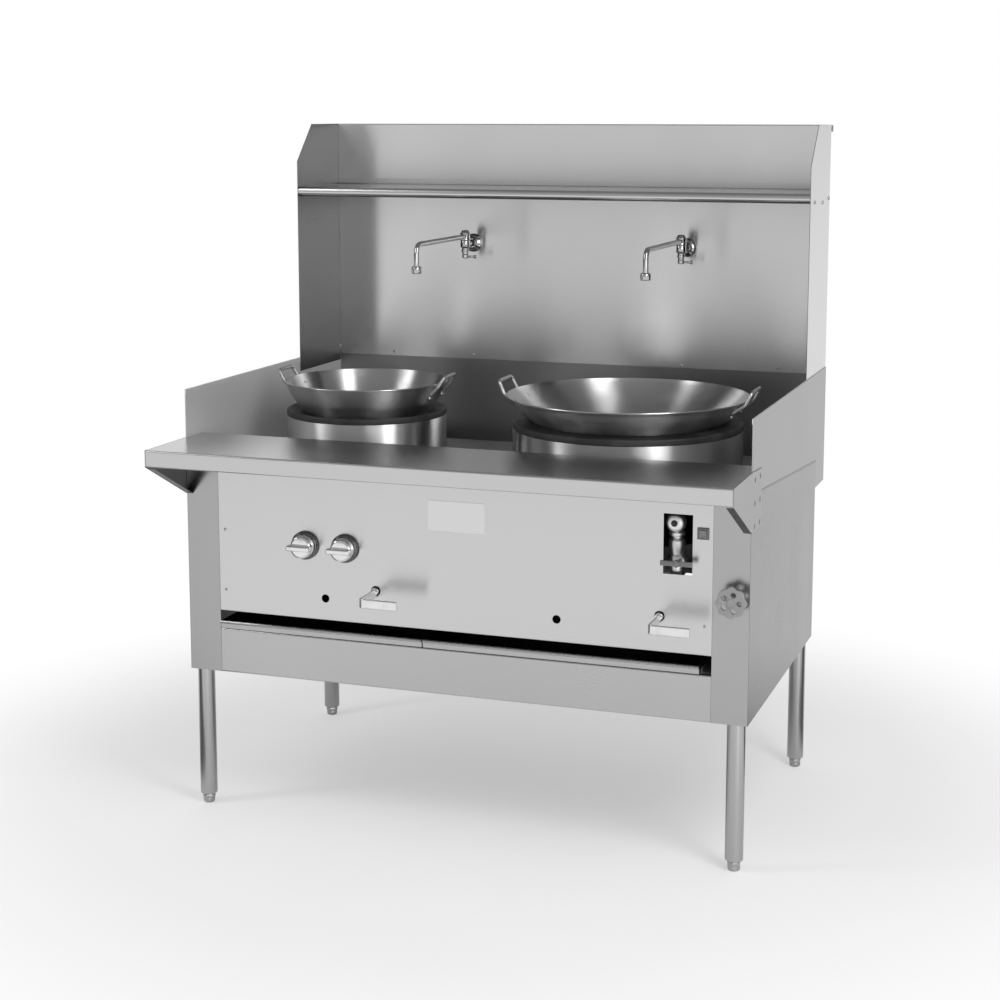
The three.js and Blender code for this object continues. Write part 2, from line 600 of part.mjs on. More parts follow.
// Three runners on two cross bars that reach from side panel to side panel.
function trayRack() {
  const top = TRAY_BOTTOM - GAP;
  const front = apronReturn + GAP;
  const back = CABINET_BACK - SHEET - GAP;
  const runner = (guideX, x0, x1) => fused(
    box(x0, x1, front, back, top - SHEET, top),
    box(guideX - SHEET / 2, guideX + SHEET / 2, front, back, top - SHEET, top + 10),
  );
  const crossBar = (y) => fused(
    box(-INNER_HALF, INNER_HALF, y, y + FRAME_BAR, top - 26, top - SHEET / 2),
    box(-INNER_HALF, INNER_HALF, y, y + 20, top - 26, top - 26 + FRAME_BAR),
  );
  const beside = RUN + SHEET / 2;
  return fused(
    runner(LEFT_TRAY_EDGE - beside, LEFT_TRAY_EDGE - beside, LEFT_TRAY_EDGE + 18),
    runner(TRAY_SPLIT, TRAY_SPLIT - 16, TRAY_SPLIT + 16),
    runner(RIGHT_TRAY_EDGE + beside, RIGHT_TRAY_EDGE - 18, POST_EDGE),
    crossBar(36),
    crossBar(back - 60),
  );
}

const besideSplit = SHEET / 2 + RUN;
place('drip_tray_left', dripTray(LEFT_TRAY_EDGE, TRAY_SPLIT - besideSplit), brushed);
place('drip_tray_right', dripTray(TRAY_SPLIT + besideSplit, RIGHT_TRAY_EDGE), brushed);
place('tray_rack', trayRack(), pipeSteel);

// ---------------------------------------------------------------- deck, gutter and splashes

// The side splash stands on the side panel and closes the gutter's end. Its top edge is hemmed.
function sideSplash() {
  const outline = [
    [0, SPLASH_TOP], [0, deckAt(0)], [GUTTER_FRONT, deckAt(GUTTER_FRONT)],
    [GUTTER_FRONT, GUTTER_BOTTOM - 2 * SHEET], [BACK, GUTTER_BOTTOM - 2 * SHEET], [BACK, SPLASH_TOP],
  ];
  const hemBack = BACK - WING_DEPTH - GAP;
  const hem = box(SKIN_INSIDE - SHEET, SKIN_INSIDE + 0.2, 0, hemBack, SPLASH_TOP - 12, SPLASH_TOP);
  return fused(alongX(outline, SKIN_INSIDE, HALF), hem);
}

// Deck sheet with an upstand behind the ledge and a round hole for each chamber.
function deckPlate() {
  const front = LEDGE_REAR + GAP;
  const corners = [
    [front, LEDGE_HEIGHT - 18], [front, deckAt(front) - SHEET],
    [CABINET_DEPTH, deckAt(CABINET_DEPTH) - SHEET],
  ];
  const sheet = alongX(foldedSheet(corners), -INNER_HALF, INNER_HALF);
  const holes = STATIONS.map(({ x, radius }) =>
    rodZ(x, CHAMBER_Y, radius + GAP, CHAMBER_BOTTOM, CHAMBER_TOP, 36));
  return cut(sheet, ...holes);
}

const drainY = (GUTTER_FRONT + BACK) / 2;
const drainRadius = 24;

// Trough and rear riser in one folded sheet, with a drain spigot welded under it.
function gutter() {
  const front = GUTTER_FRONT + SHEET;
  const corners = [
    [RISER_FACE, RISER_TOP], [RISER_FACE, GUTTER_BOTTOM], [front, GUTTER_BOTTOM],
    [front, deckAt(CABINET_DEPTH)],
  ];
  const bottom = GUTTER_BOTTOM - SHEET;
  const spigot = turned([
    [drainRadius, bottom - 50], [drainRadius + 2, bottom - 50],
    [drainRadius + 2, bottom + 0.5], [drainRadius, bottom + 0.5],
  ], DRAIN_X, drainY, 20);
  const hole = rodZ(DRAIN_X, drainY, drainRadius, bottom - 5, GUTTER_BOTTOM + 5, 20);
  return fused(cut(alongX(foldedSheet(corners), -INNER_HALF, INNER_HALF), hole), spigot);
}

// Lift-out basket with a ring of holes round one in the middle.
function drainStrainer() {
  const rest = GUTTER_BOTTOM + GAP;
  const cup = drainRadius - 2 * GAP;
  const basket = turned([
    [0, rest - 22], [cup - 2, rest - 22], [cup, rest - 2], [cup, rest], [drainRadius + 7, rest],
    [drainRadius + 7, rest + 1.2], [cup - 1.2, rest + 1.2], [cup - 3.2, rest - 20.8], [0, rest - 20.8],
  ], 0, 0, 20);
  const holes = [[0, 0], ...ring(0, 0, 13, 6)].map(([x, y]) => rodZ(x, y, 3.5, rest - 30, rest - 10, 8));
  return movedBy(cut(basket, ...holes), DRAIN_X, drainY, 0);
}

placePair('side_splash', sideSplash(), brushed);
place('deck_plate', deckPlate(), brushed);
place('gutter', gutter(), brushed);
place('drain_strainer', drainStrainer(), polished);

// ---------------------------------------------------------------- back guard, wings and overshelf

// Guard sheet with its top turned to the back, and two hat-section stiffeners behind it.
function backGuard() {
  const lipBack = GUARD_FACE + GUARD_FLANGE;
  const corners = [
    [lipBack, GUARD_TOP - 18], [lipBack, GUARD_TOP], [GUARD_FACE, GUARD_TOP], [GUARD_FACE, GUARD_BOTTOM],
  ];
  const sheet = alongX(foldedSheet(corners), -GUARD_HALF, GUARD_HALF);
  const rear = GUARD_FACE + SHEET - 0.2;
  const hat = (x) => alongZ(foldedSheet([
    [x - 38, rear], [x - 20, rear], [x - 14, rear + 22], [x + 14, rear + 22], [x + 20, rear], [x + 38, rear],
  ]), RISER_TOP + 15, GUARD_TOP - 24);
  const shankHole = shankRadius + GAP;
  const shanks = FAUCETS.map(({ x }) => rodY(x, shankHeight, shankHole, GUARD_FACE - 5, GUARD_FACE + 5));
  const nearWing = GUARD_HALF * 0.7;
  const between = (LEFT_FAUCET_X + RIGHT_FAUCET_X) / 2;
  return cut(fused(sheet, hat(-nearWing), hat(between), hat(nearWing)), ...shanks);
}

// Side wing, notched at its lower rear corner for the riser, with the front corner cut off above.
function wing() {
  const front = BACK - WING_DEPTH;
  const notch = RISER_FACE - GAP - 4;
  return alongX([
    [front, WING_FOOT], [notch, WING_FOOT], [notch, RISER_TOP + 2], [BACK, RISER_TOP + 2], [BACK, GUARD_TOP],
    [front + WING_CUT_DEPTH, GUARD_TOP], [front, GUARD_TOP - WING_CUT_HEIGHT],
  ], WING_INSIDE, INNER_HALF);
}

// Shelf with a rolled nose, an upstand against the guard and a flange down each end.
function overshelf() {
  const front = BACK - WING_DEPTH;
  const back = GUARD_FACE - GAP - SHEET;
  const under = SHELF_HEIGHT - 2 * SHELF_NOSE;
  const nose = Array.from({ length: 11 }, (_, i) => {
    const angle = Math.PI / 2 + (Math.PI * i) / 10;
    return [
      front + SHELF_NOSE + SHELF_NOSE * Math.cos(angle),
      SHELF_HEIGHT - SHELF_NOSE + SHELF_NOSE * Math.sin(angle),
    ];
  });
  const corners = [
    [back, SHELF_HEIGHT + 16], [back, SHELF_HEIGHT], ...nose, [front + 30, under], [front + 30, under + 8],
  ];
  const top = alongX(foldedSheet(corners, SHEET, 2, 1), -GUARD_HALF, GUARD_HALF);
  const endFlange = (x0, x1) => box(x0, x1, front + 34, back - 4, under, SHELF_HEIGHT - SHEET / 2);
  return fused(top, endFlange(GUARD_HALF - SHEET, GUARD_HALF), endFlange(-GUARD_HALF, -GUARD_HALF + SHEET));
}

const shankRadius = 10;
const shankHeight = FAUCET_HEIGHT - 21;
place('back_guard', backGuard(), brushed);
placePair('wing', wing(), brushed);
place('overshelf', overshelf(), brushed);

// ---------------------------------------------------------------- cooking stations

// Steel cylinder that stands through the deck, with a floor that carries the burner.
function chamber({ x, radius, burnerRadius }) {
  const wall = 3;
  const openRadius = burnerRadius + BURNER_CLEARANCE;
  return turned([
    [openRadius, CHAMBER_BOTTOM], [radius, CHAMBER_BOTTOM], [radius, CHAMBER_TOP],
    [radius - wall, CHAMBER_TOP], [radius - wall, CHAMBER_BOTTOM + wall], [openRadius, CHAMBER_BOTTOM + wall],
  ], x, CHAMBER_Y, 36);
}

// Cast ring on the chamber's rim: a spigot inside it, a wall over it, and a dished top round the seat.
function wokRing({ x, radius, seatRadius, seatHeight }) {
  const rest = CHAMBER_TOP + GAP;
  const seat = CHAMBER_TOP + seatHeight;
  const spigot = radius - 3 - 1;
  return turned([
    [spigot, rest - 12], [spigot, rest], [radius, rest], [radius, rest + 12], [radius - 3, rest + 15],
    [radius - 10, rest + 15], [seatRadius + 9, seat], [seatRadius, seat], [seatRadius - 5, seat - 9],
    [spigot - 6, rest - 12],
  ], x, CHAMBER_Y, 36);
}

// A spherical bowl whose outside rests on the ring's seat, and a loop handle at each end.
function wok({ x, seatRadius, seatHeight, wokRadius, wokDepth, handleWidth, handleRise }) {
  const inside = (wokRadius ** 2 + wokDepth ** 2) / (2 * wokDepth);
  const outside = inside + WOK_WALL;
  const centre = CHAMBER_TOP + seatHeight + 2 * GAP + Math.sqrt(outside ** 2 - seatRadius ** 2);
  const rim = centre - inside + wokDepth;
  const onSphere = (radius, angle) => [radius * Math.sin(angle), centre - radius * Math.cos(angle)];
  const seatAngle = Math.asin(seatRadius / outside);
  const sweep = Math.acos((inside - wokDepth) / inside);
  const arc = (radius, end) => [0, 0.2, 0.4, 0.6, 0.8, 1].map((share) => onSphere(radius, seatAngle * share))
    .concat([onSphere(radius, (seatAngle + end) / 2), onSphere(radius, end)]);
  const bead = [[wokRadius + 1.2, rim + 1.4], [wokRadius + 3, rim + 0.8], [wokRadius + 3.4, rim - 1.6]];
  const bowl = turned([...arc(inside, sweep), ...bead, ...arc(outside, sweep * 0.99).reverse()], 0, 0, 36);
  const base = rim - 24;
  const wallAtBase = Math.sqrt(outside ** 2 - (centre - base) ** 2) - WOK_WALL / 2;
  const half = handleWidth / 2;
  const reach = wokRadius + 22;
  const rootRadius = Math.sqrt(wallAtBase ** 2 - half ** 2);
  const loop = bentTube([
    [rootRadius, -half, base], [wokRadius + 8, -half, rim - 4], [reach, -half + 4, rim + handleRise],
    [reach, half - 4, rim + handleRise], [wokRadius + 8, half, rim - 4], [rootRadius, half, base],
  ], 9, 4.5, 6, 2);
  return movedBy(fused(bowl, loop, mirrored(loop)), x, CHAMBER_Y, 0);
}

// Cast manifold plate on four lugs, rings of hexagonal jets, and the pipe that feeds it.
function burner({ x, burnerRadius, jets, valveX }) {
  const floor = CHAMBER_BOTTOM + 3 + GAP;
  const plate = turned([
    [0, floor - 14], [burnerRadius * 0.6, floor - 14], [burnerRadius, floor - 4], [burnerRadius, floor + 10],
    [burnerRadius - 5, floor + 14], [0, floor + 14],
  ], x, CHAMBER_Y, 24);
  const lug = burnerRadius + BURNER_CLEARANCE + 8;
  const lugs = fused(
    box(x - lug, x + lug, CHAMBER_Y - 10, CHAMBER_Y + 10, floor, floor + 8),
    box(x - 10, x + 10, CHAMBER_Y - lug, CHAMBER_Y + lug, floor, floor + 8),
  );
  const jet = (jx, jy) => turned([
    [0, floor + 12], [9, floor + 12], [9, floor + 26], [7, floor + 28], [5, floor + 46], [0, floor + 46],
  ], jx, jy, 6);
  const heads = jets
    .flatMap((count, i) => ring(x, CHAMBER_Y, burnerRadius * 0.385 * i, count))
    .map(([jx, jy]) => jet(jx, jy));
  const start = MANIFOLD_Y + VALVE_BACK + GAP;
  const feed = bentTube([
    [valveX, start, LEVER_HEIGHT], [valveX, start + FEED_STRAIGHT, LEVER_HEIGHT],
    [x, CHAMBER_Y, LEVER_HEIGHT], [x, CHAMBER_Y, floor - 10],
  ], FEED_BEND, PIPE_RADIUS, 10, 4);
  return fused(plate, lugs, ...heads, feed);
}

STATIONS.forEach((station) => {
  place(`chamber_${station.side}`, chamber(station), polished);
  place(`wok_ring_${station.side}`, wokRing(station), iron);
  place(`wok_${station.side}`, wok(station), polished);
  place(`burner_${station.side}`, burner(station), iron);
});

// ---------------------------------------------------------------- gas line behind the panel

const leverStem = 5;
const valveFront = 24;

function gasManifold() {
  const left = Math.min(...STATIONS.map(({ pilotX }) => pilotX)) - 24;
  const right = SHUTOFF_X - 21 - GAP;
  return fused(
    rodX(MANIFOLD_Y, MANIFOLD_HEIGHT, MANIFOLD_RADIUS, left, right, 20),
    rodX(MANIFOLD_Y, MANIFOLD_HEIGHT, MANIFOLD_RADIUS + 5, left - 14, left + 12, 6),
    rodX(MANIFOLD_Y, MANIFOLD_HEIGHT, MANIFOLD_RADIUS + 5, right - 22, right, 6),
  );
}

// Ball valve under the manifold: nipple up, feed to the back, blind bore for the lever's stem in front.
function gasValve({ valveX }) {
  const top = MANIFOLD_HEIGHT - MANIFOLD_RADIUS - GAP;
  const bodyShell = fused(
    rodY(valveX, LEVER_HEIGHT, 18, MANIFOLD_Y - 16, MANIFOLD_Y + 34, 20),
    rodY(valveX, LEVER_HEIGHT, 21, MANIFOLD_Y + 16, MANIFOLD_Y + 30, 6),
    rodY(valveX, LEVER_HEIGHT, 10, valveFront, MANIFOLD_Y, 16),
    rodZ(valveX, MANIFOLD_Y, 10.6, LEVER_HEIGHT, top, 16),
  );
  return cut(bodyShell, rodY(valveX, LEVER_HEIGHT, leverStem + GAP, valveFront - 1, MANIFOLD_Y - 14, 16));
}

// Flat-bar handle bent to the right, riveted to a round stem that turns in the valve.
function gasLever({ valveX }) {
  const elbow = -LEVER_REACH;
  const barHeight = LEVER_HEIGHT - 6;
  const bar = bentBar([
    [valveX, -7, barHeight], [valveX, elbow, barHeight], [valveX + LEVER_BAR, elbow, barHeight],
  ], 9, rectangle(22, 5), 4);
  return fused(
    bar,
    rodY(valveX, LEVER_HEIGHT, leverStem, -20, MANIFOLD_Y - 16, 16),
    rodY(valveX, LEVER_HEIGHT, 9, -9, -3, 16),
  );
}

// Small cock on top of the manifold, with the pilot tube that runs back to its burner.
function pilotValve({ pilotX, x, burnerRadius }) {
  const back = MANIFOLD_Y + 10;
  const tipRadius = burnerRadius + BURNER_CLEARANCE / 2;
  const tipX = x + 24;
  const tube = bentTube([
    [pilotX, back - 4, KNOB_HEIGHT], [pilotX, back + 16, KNOB_HEIGHT], [tipX, back + 16, KNOB_HEIGHT],
    [tipX, CHAMBER_Y - tipRadius, KNOB_HEIGHT], [tipX, CHAMBER_Y - tipRadius, CHAMBER_BOTTOM + 52],
  ], 6, 3, 6, 2);
  const shell = fused(
    rodY(pilotX, KNOB_HEIGHT, 12, 26, back, 16),
    rodY(pilotX, KNOB_HEIGHT, 8, 12, 27, 16),
    rodZ(pilotX, MANIFOLD_Y, 7, MANIFOLD_HEIGHT + MANIFOLD_RADIUS + GAP, KNOB_HEIGHT, 12),
    tube,
  );
  return cut(shell, rodY(pilotX, KNOB_HEIGHT, 4 + GAP, 11, 40, 12));
}

// Round skirt, tapered body and a grip bar across the face.
function pilotKnob({ pilotX }) {
  const shell = turnedForward([
    [0, 1.5], [32.5, 1.5], [34, 4], [33, 9], [28.5, 11], [26.5, 28], [23.5, 32], [0, 33],
  ], pilotX, 0, KNOB_HEIGHT, 24);
  const roundEnd = (shift, from) => Array.from({ length: 7 }, (_, i) => {
    const angle = from + (Math.PI * i) / 6;
    return [pilotX + shift + 6 * Math.cos(angle), KNOB_HEIGHT + 6 * Math.sin(angle)];
  });
  const grip = [...roundEnd(23, -Math.PI / 2), ...roundEnd(-23, Math.PI / 2)];
  return fused(shell, alongY(grip, -49, -20), rodY(pilotX, KNOB_HEIGHT, 4, -5, 38, 12));
}

place('gas_manifold', gasManifold(), pipeSteel);
STATIONS.forEach((station) => {
  place(`gas_valve_${station.side}`, gasValve(station), brass);
  place(`gas_lever_${station.side}`, gasLever(station), chrome);
  place(`pilot_valve_${station.side}`, pilotValve(station), brass);
  place(`pilot_knob_${station.side}`, pilotKnob(station), chrome);
});

// ---------------------------------------------------------------- safety valve in the window

const safetyY = 34;
const resetRadius = 6.5;

// Upright body with a domed head that faces forward, a union at its waist, and an outlet to the manifold.
function safetyValve() {
  const foot = MANIFOLD_HEIGHT + 46;
  const union = HEAD_HEIGHT - 36;
  const head = turnedForward([
    [0, 0], [20, 0], [22, 5], [22, 20], [18, 26], [12, 28], [resetRadius + GAP, 28],
    [resetRadius + GAP, 14], [0, 14],
  ], SAFETY_X, safetyY, HEAD_HEIGHT, 24);
  const body = turned([
    [0, foot], [17, foot], [17, TEE_HEIGHT + 6], [14, TEE_HEIGHT + 9], [18, union - 22], [18, union - 5],
    [13, union], [13, union + 3], [18, union + 5], [18, union + 12], [13, union + 15], [13, HEAD_HEIGHT],
    [0, HEAD_HEIGHT],
  ], SAFETY_X, safetyY, 20);
  const outlet = fused(
    box(SAFETY_X - 12, SAFETY_X + 12, safetyY, MANIFOLD_Y + 10, MANIFOLD_HEIGHT + 30, MANIFOLD_HEIGHT + 58),
    rodZ(SAFETY_X, MANIFOLD_Y, 9, MANIFOLD_HEIGHT + MANIFOLD_RADIUS + GAP, MANIFOLD_HEIGHT + 31, 16),
  );
  const boss = rodY(TEE_X, TEE_HEIGHT, 10, 6, safetyY + 4, 16);
  const bore = rodY(TEE_X, TEE_HEIGHT, 4 + GAP, 5, 26, 12);
  return cut(fused(head, body, outlet, boss), bore);
}

function resetButton() {
  return turnedForward([
    [0, 18], [resetRadius, 18], [resetRadius, 32], [resetRadius - 2, 34], [0, 34],
  ], SAFETY_X, safetyY, HEAD_HEIGHT, 16);
}

// Cross bar on a stem that comes out through the window.
function teeHandle() {
  return fused(
    box(TEE_X - 36.5, TEE_X + 36.5, -31, -25, TEE_HEIGHT - 6, TEE_HEIGHT + 6),
    rodY(TEE_X, TEE_HEIGHT, 8, -33, -18, 16),
    rodY(TEE_X, TEE_HEIGHT, 4, -20, 24, 12),
  );
}

place('safety_valve', safetyValve(), chrome);
place('reset_button', resetButton(), black);
place('tee_handle', teeHandle(), grey);

// ---------------------------------------------------------------- igniter

function igniterBezel() {
  const bezel = squareBlock(IGNITER_SIZE / 2, -4, -GAP);
  const barrel = squareBlock(IGNITER_BARREL / 2, -1, 26);
  return cut(fused(bezel, barrel), squareBlock(IGNITER_BUTTON / 2 + GAP, -5, 20));
}

function igniterButton() {
  const dish = turnedForward([[0, 5], [5, 6.5], [5, 12], [0, 12]], IGNITER_X, 0, IGNITER_HEIGHT, 16);
  return cut(squareBlock(IGNITER_BUTTON / 2, -6.5, 14), dish);
}

place('igniter_bezel', igniterBezel(), brushed);
place('igniter_button', igniterButton(), grey);

// ---------------------------------------------------------------- main shut-off on the right post

// Gate valve body between the manifold and the inlet pipe, with a bored boss behind the post.
function shutoffValve() {
  const shell = fused(
    rodY(SHUTOFF_X, MANIFOLD_HEIGHT, 17, MANIFOLD_Y - 26, MANIFOLD_Y + 36, 20),
    rodY(SHUTOFF_X, MANIFOLD_HEIGHT, 20, MANIFOLD_Y + 20, MANIFOLD_Y + 36, 6),
    rodX(MANIFOLD_Y, MANIFOLD_HEIGHT, 15, SHUTOFF_X - 21, SHUTOFF_X, 16),
    rodY(SHUTOFF_X, MANIFOLD_HEIGHT, 10, 8, MANIFOLD_Y - 20, 16),
  );
  return cut(shell, rodY(SHUTOFF_X, MANIFOLD_HEIGHT, 4.5 + GAP, 7, 30, 14));
}

// Cast wheel with eight finger lobes and five holes, on its stem.
function handwheel() {
  const lobes = 8;
  const outline = Array.from({ length: lobes * 4 }, (_, i) => {
    const angle = (2 * Math.PI * i) / (lobes * 4);
    const radius = 33 + 2 * Math.cos(lobes * angle);
    return [SHUTOFF_X + radius * Math.cos(angle), MANIFOLD_HEIGHT + radius * Math.sin(angle)];
  });
  const windows = ring(SHUTOFF_X, MANIFOLD_HEIGHT, 18.5, 5).map(([x, z]) => rodY(x, z, 6.5, -50, -20, 10));
  return fused(
    cut(alongY(outline, -43, -33), ...windows),
    rodY(SHUTOFF_X, MANIFOLD_HEIGHT, 9, -47, -24, 16),
    rodY(SHUTOFF_X, MANIFOLD_HEIGHT, 4.5, -30, 28, 14),
  );
}

// Supply pipe to the back, with a hexagon union on its end.
function inletPipe() {
  const start = MANIFOLD_Y + 36 + GAP;
  const end = CABINET_DEPTH + INLET_PAST_BACK;
  return cut(fused(
    rodY(SHUTOFF_X, MANIFOLD_HEIGHT, PIPE_RADIUS, start, end, 20),
    rodY(SHUTOFF_X, MANIFOLD_HEIGHT, PIPE_RADIUS + 5, end - 28, end - 4, 6),
  ), rodY(SHUTOFF_X, MANIFOLD_HEIGHT, PIPE_RADIUS - 3, end - 30, end + 1, 16));
}

place('shutoff_valve', shutoffValve(), brass);
place('handwheel', handwheel(), grey);
place('gas_inlet_pipe', inletPipe(), pipeSteel);

// ---------------------------------------------------------------- swing faucets

const swingY = GUARD_FACE - FAUCET_STAND_OFF;
const pivotRadius = 8;
const collarRadius = 14;
const bonnetBottom = FAUCET_HEIGHT - 48;

// Wall flange and shank, an upright barrel with the swivel pin on top and the bonnet below.
function faucetBody(x) {
  const flange = turnedForward([
    [0, GAP], [25, GAP], [25, 4], [20, 9], [13, 12], [0, 12],
  ], x, GUARD_FACE, shankHeight, 20);
  const shank = rodY(x, shankHeight, shankRadius, swingY, GUARD_FACE + 22);
  const lockNut = rodY(x, shankHeight, 17, GUARD_FACE + SHEET + GAP, GUARD_FACE + 12, 6);
  const upright = turned([
    [0, bonnetBottom], [8.5, bonnetBottom], [8.5, shankHeight - 12], [13, shankHeight - 9],
    [13, FAUCET_HEIGHT - 10 - GAP], [pivotRadius, FAUCET_HEIGHT - 10 - GAP],
    [pivotRadius, FAUCET_HEIGHT + 10 + GAP], [11, FAUCET_HEIGHT + 10 + GAP],
    [9, FAUCET_HEIGHT + 16], [0, FAUCET_HEIGHT + 17],
  ], x, swingY, 16);
  const stemBore = rodZ(x, swingY, 3 + GAP, bonnetBottom - 1, bonnetBottom + 14, 12);
  return cut(fused(flange, shank, lockNut, upright), stemBore);
}

// Collar round the swivel pin, a tube forward and down, and the aerator on its end.
function faucetSpout(x) {
  const collar = turned([
    [pivotRadius + GAP, FAUCET_HEIGHT - 10], [collarRadius, FAUCET_HEIGHT - 10],
    [collarRadius, FAUCET_HEIGHT + 10], [pivotRadius + GAP, FAUCET_HEIGHT + 10],
  ], x, swingY, 16);
  const end = swingY - SPOUT_REACH;
  const tip = FAUCET_HEIGHT - SPOUT_DROP;
  const tube = bentTube([
    [x, swingY - collarRadius + 3, FAUCET_HEIGHT], [x, end, FAUCET_HEIGHT], [x, end, tip + 17],
  ], SPOUT_BEND, 7, 10, 4);
  const aerator = turned([
    [0, tip + 19], [10, tip + 19], [13, tip + 16], [13, tip + 3], [11, tip], [8, tip], [8, tip + 4],
    [0, tip + 4],
  ], x, end, 16);
  return fused(collar, tube, aerator);
}

// Small lever under the bonnet, on a stem that goes up into it.
function faucetLever(x) {
  const top = bonnetBottom - GAP;
  return fused(
    rodZ(x, swingY, 3, top - 4, top + 12, 12),
    turned([[0, top - 11], [7, top - 11], [8.5, top - 8], [8.5, top], [0, top]], x, swingY, 16),
    rodX(swingY, top - 6, 3, x, x + 26, 10),
    turned([[0, top - 11], [4, top - 9], [5, top - 6], [4, top - 3], [0, top - 1]], x + 27, swingY, 10),
  );
}

FAUCETS.forEach(({ side, x }) => {
  place(`faucet_body_${side}`, faucetBody(x), chrome);
  place(`faucet_spout_${side}`, faucetSpout(x), chrome);
  place(`faucet_lever_${side}`, faucetLever(x), chrome);
});

export default range;
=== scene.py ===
# %% [markdown]
# # A gas wok range
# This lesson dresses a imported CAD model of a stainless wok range. The CAD solids stay where they are. Flat
# folded sheets keep their solids and get better finishes. Round and cast pieces are modelled again here,
# finer than the solids, and ride on the same bodies, so that they move as the solids do.

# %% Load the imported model
import math

import bpy
from mathutils import Matrix, Vector


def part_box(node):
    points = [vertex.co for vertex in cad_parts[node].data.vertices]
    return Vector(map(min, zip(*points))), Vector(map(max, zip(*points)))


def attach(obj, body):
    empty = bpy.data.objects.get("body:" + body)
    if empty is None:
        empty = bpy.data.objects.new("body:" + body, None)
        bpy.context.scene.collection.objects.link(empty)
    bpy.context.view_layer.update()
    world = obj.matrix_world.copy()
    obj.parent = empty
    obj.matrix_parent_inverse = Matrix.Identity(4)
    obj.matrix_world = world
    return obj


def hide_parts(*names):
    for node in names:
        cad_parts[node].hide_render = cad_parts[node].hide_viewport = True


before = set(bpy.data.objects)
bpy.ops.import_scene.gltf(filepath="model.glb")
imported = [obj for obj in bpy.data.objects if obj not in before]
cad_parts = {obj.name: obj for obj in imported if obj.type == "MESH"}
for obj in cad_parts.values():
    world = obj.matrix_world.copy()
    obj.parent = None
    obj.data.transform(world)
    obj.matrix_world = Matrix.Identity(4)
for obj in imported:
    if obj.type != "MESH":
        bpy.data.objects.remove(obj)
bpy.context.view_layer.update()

# %% [markdown]
# ## Units and places
# The CAD was drawn in millimetres, with Y counted from the cabinet's front face. Blender works in metres,
# and the frame's origin is under the middle of the whole outline. Two short functions turn the maker's
# numbers into places, so that the numbers on the drawing can be used as they are.

# %% Millimetres to places
FRONT_TO_ORIGIN = 378


def place(x, y, z):
    return Vector((x, y - FRONT_TO_ORIGIN, z)) / 1000


FRONT = place(0, 0, 0).y


def middle(node):
    low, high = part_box(node)
    return (Vector(low) + Vector(high)) / 2


print("the left wok is centred at", [round(value, 3) for value in middle("wok_left")])

# %% [markdown]
# ## The camera
# The photograph was taken from the right and a little above, with a moderately long lens. Its upright edges
# are parallel, which a level camera with a raised frame gives. A large shift would push the object out of
# every other view, so most of it is given by a downward tilt and only a small shift is kept.

# %% Place the camera
LENS_TO_WIDTH = 1.917
camera_data = bpy.data.cameras.new("camera")
camera_data.sensor_width = 36
camera_data.lens = 36 * LENS_TO_WIDTH
camera_data.shift_y = -0.10
camera = bpy.data.objects.new("camera", camera_data)
bpy.context.scene.collection.objects.link(camera)
camera.location = place(1513.5, -4014.3, 1679.0)
camera.rotation_euler = (math.radians(90 - 8.54), 0, math.radians(19.28))
bpy.context.scene.camera = camera
print("camera", camera.location, "lens", round(camera_data.lens, 1))

# %% [markdown]
# ## Modelling helpers
# Operators act on whatever is selected, and loading leaves the CAD nodes selected. Each new piece therefore
# starts by leaving edit mode and deselecting everything.

# %% Start each piece clean and settle it when it is done
def clear_selection():
    if bpy.context.mode != "OBJECT":
        bpy.ops.object.mode_set(mode="OBJECT")
    bpy.ops.object.select_all(action="DESELECT")


def name_active(name):
    piece = bpy.context.active_object
    piece.name = name
    piece.data.name = name
    return piece


def settle(piece):
    """Puts the piece's place into its mesh and leaves its object at the origin."""
    clear_selection()
    piece.select_set(True)
    bpy.context.view_layer.objects.active = piece
    bpy.ops.object.transform_apply(location=True, rotation=True, scale=True)
    return piece


# %% [markdown]
# Most round pieces are turned on a lathe. Here a single vertex is extruded along half of the outline and then
# spun round the axis, and doubled vertices on the axis and at the seam are merged. The outline is a list of
# radius and height in millimetres, and the axis may point any way.

# %% Turn a profile on an axis
def turned(name, outline, centre, axis=(0, 0, 1), steps=64, smooth_angle=32):
    axis = Vector(axis)
    outward = Vector((1, 0, 0)) if abs(axis.x) < 0.5 else Vector((0, 1, 0))
    points = [centre + (outward * radius + axis * height) / 1000 for radius, height in outline]
    clear_selection()
    bpy.ops.mesh.primitive_plane_add(size=0.001, location=points[0])
    piece = name_active(name)
    bpy.ops.object.mode_set(mode="EDIT")
    bpy.ops.mesh.select_mode(type="VERT")
    bpy.ops.mesh.merge(type="CENTER")
    for start, end in zip(points, points[1:]):
        bpy.ops.mesh.extrude_region_move(TRANSFORM_OT_translate={"value": end - start})
    bpy.ops.mesh.select_all(action="SELECT")
    bpy.ops.mesh.spin(steps=steps, angle=2 * math.pi, center=centre, axis=axis)
    bpy.ops.mesh.select_all(action="SELECT")
    bpy.ops.mesh.remove_doubles(threshold=0.00001)
    bpy.ops.mesh.normals_make_consistent(inside=False)
    bpy.ops.object.mode_set(mode="OBJECT")
    bpy.ops.object.shade_smooth_by_angle(angle=math.radians(smooth_angle))
    return settle(piece)


# %% [markdown]
# Blocks and plates start as a cube. Real ones never have knife-sharp edges, so a small bevel is applied,
# which is what catches the light along an edge.

# %% Make a bevelled block
def soften(piece, width, segments=2):
    clear_selection()
    piece.select_set(True)
    bpy.context.view_layer.objects.active = piece
    bevel = piece.modifiers.new("edge", "BEVEL")
    bevel.width = width / 1000
    bevel.segments = segments
    bevel.limit_method = "ANGLE"
    bpy.ops.object.modifier_apply(modifier=bevel.name)
    bpy.ops.object.shade_smooth_by_angle(angle=math.radians(32))
    return piece


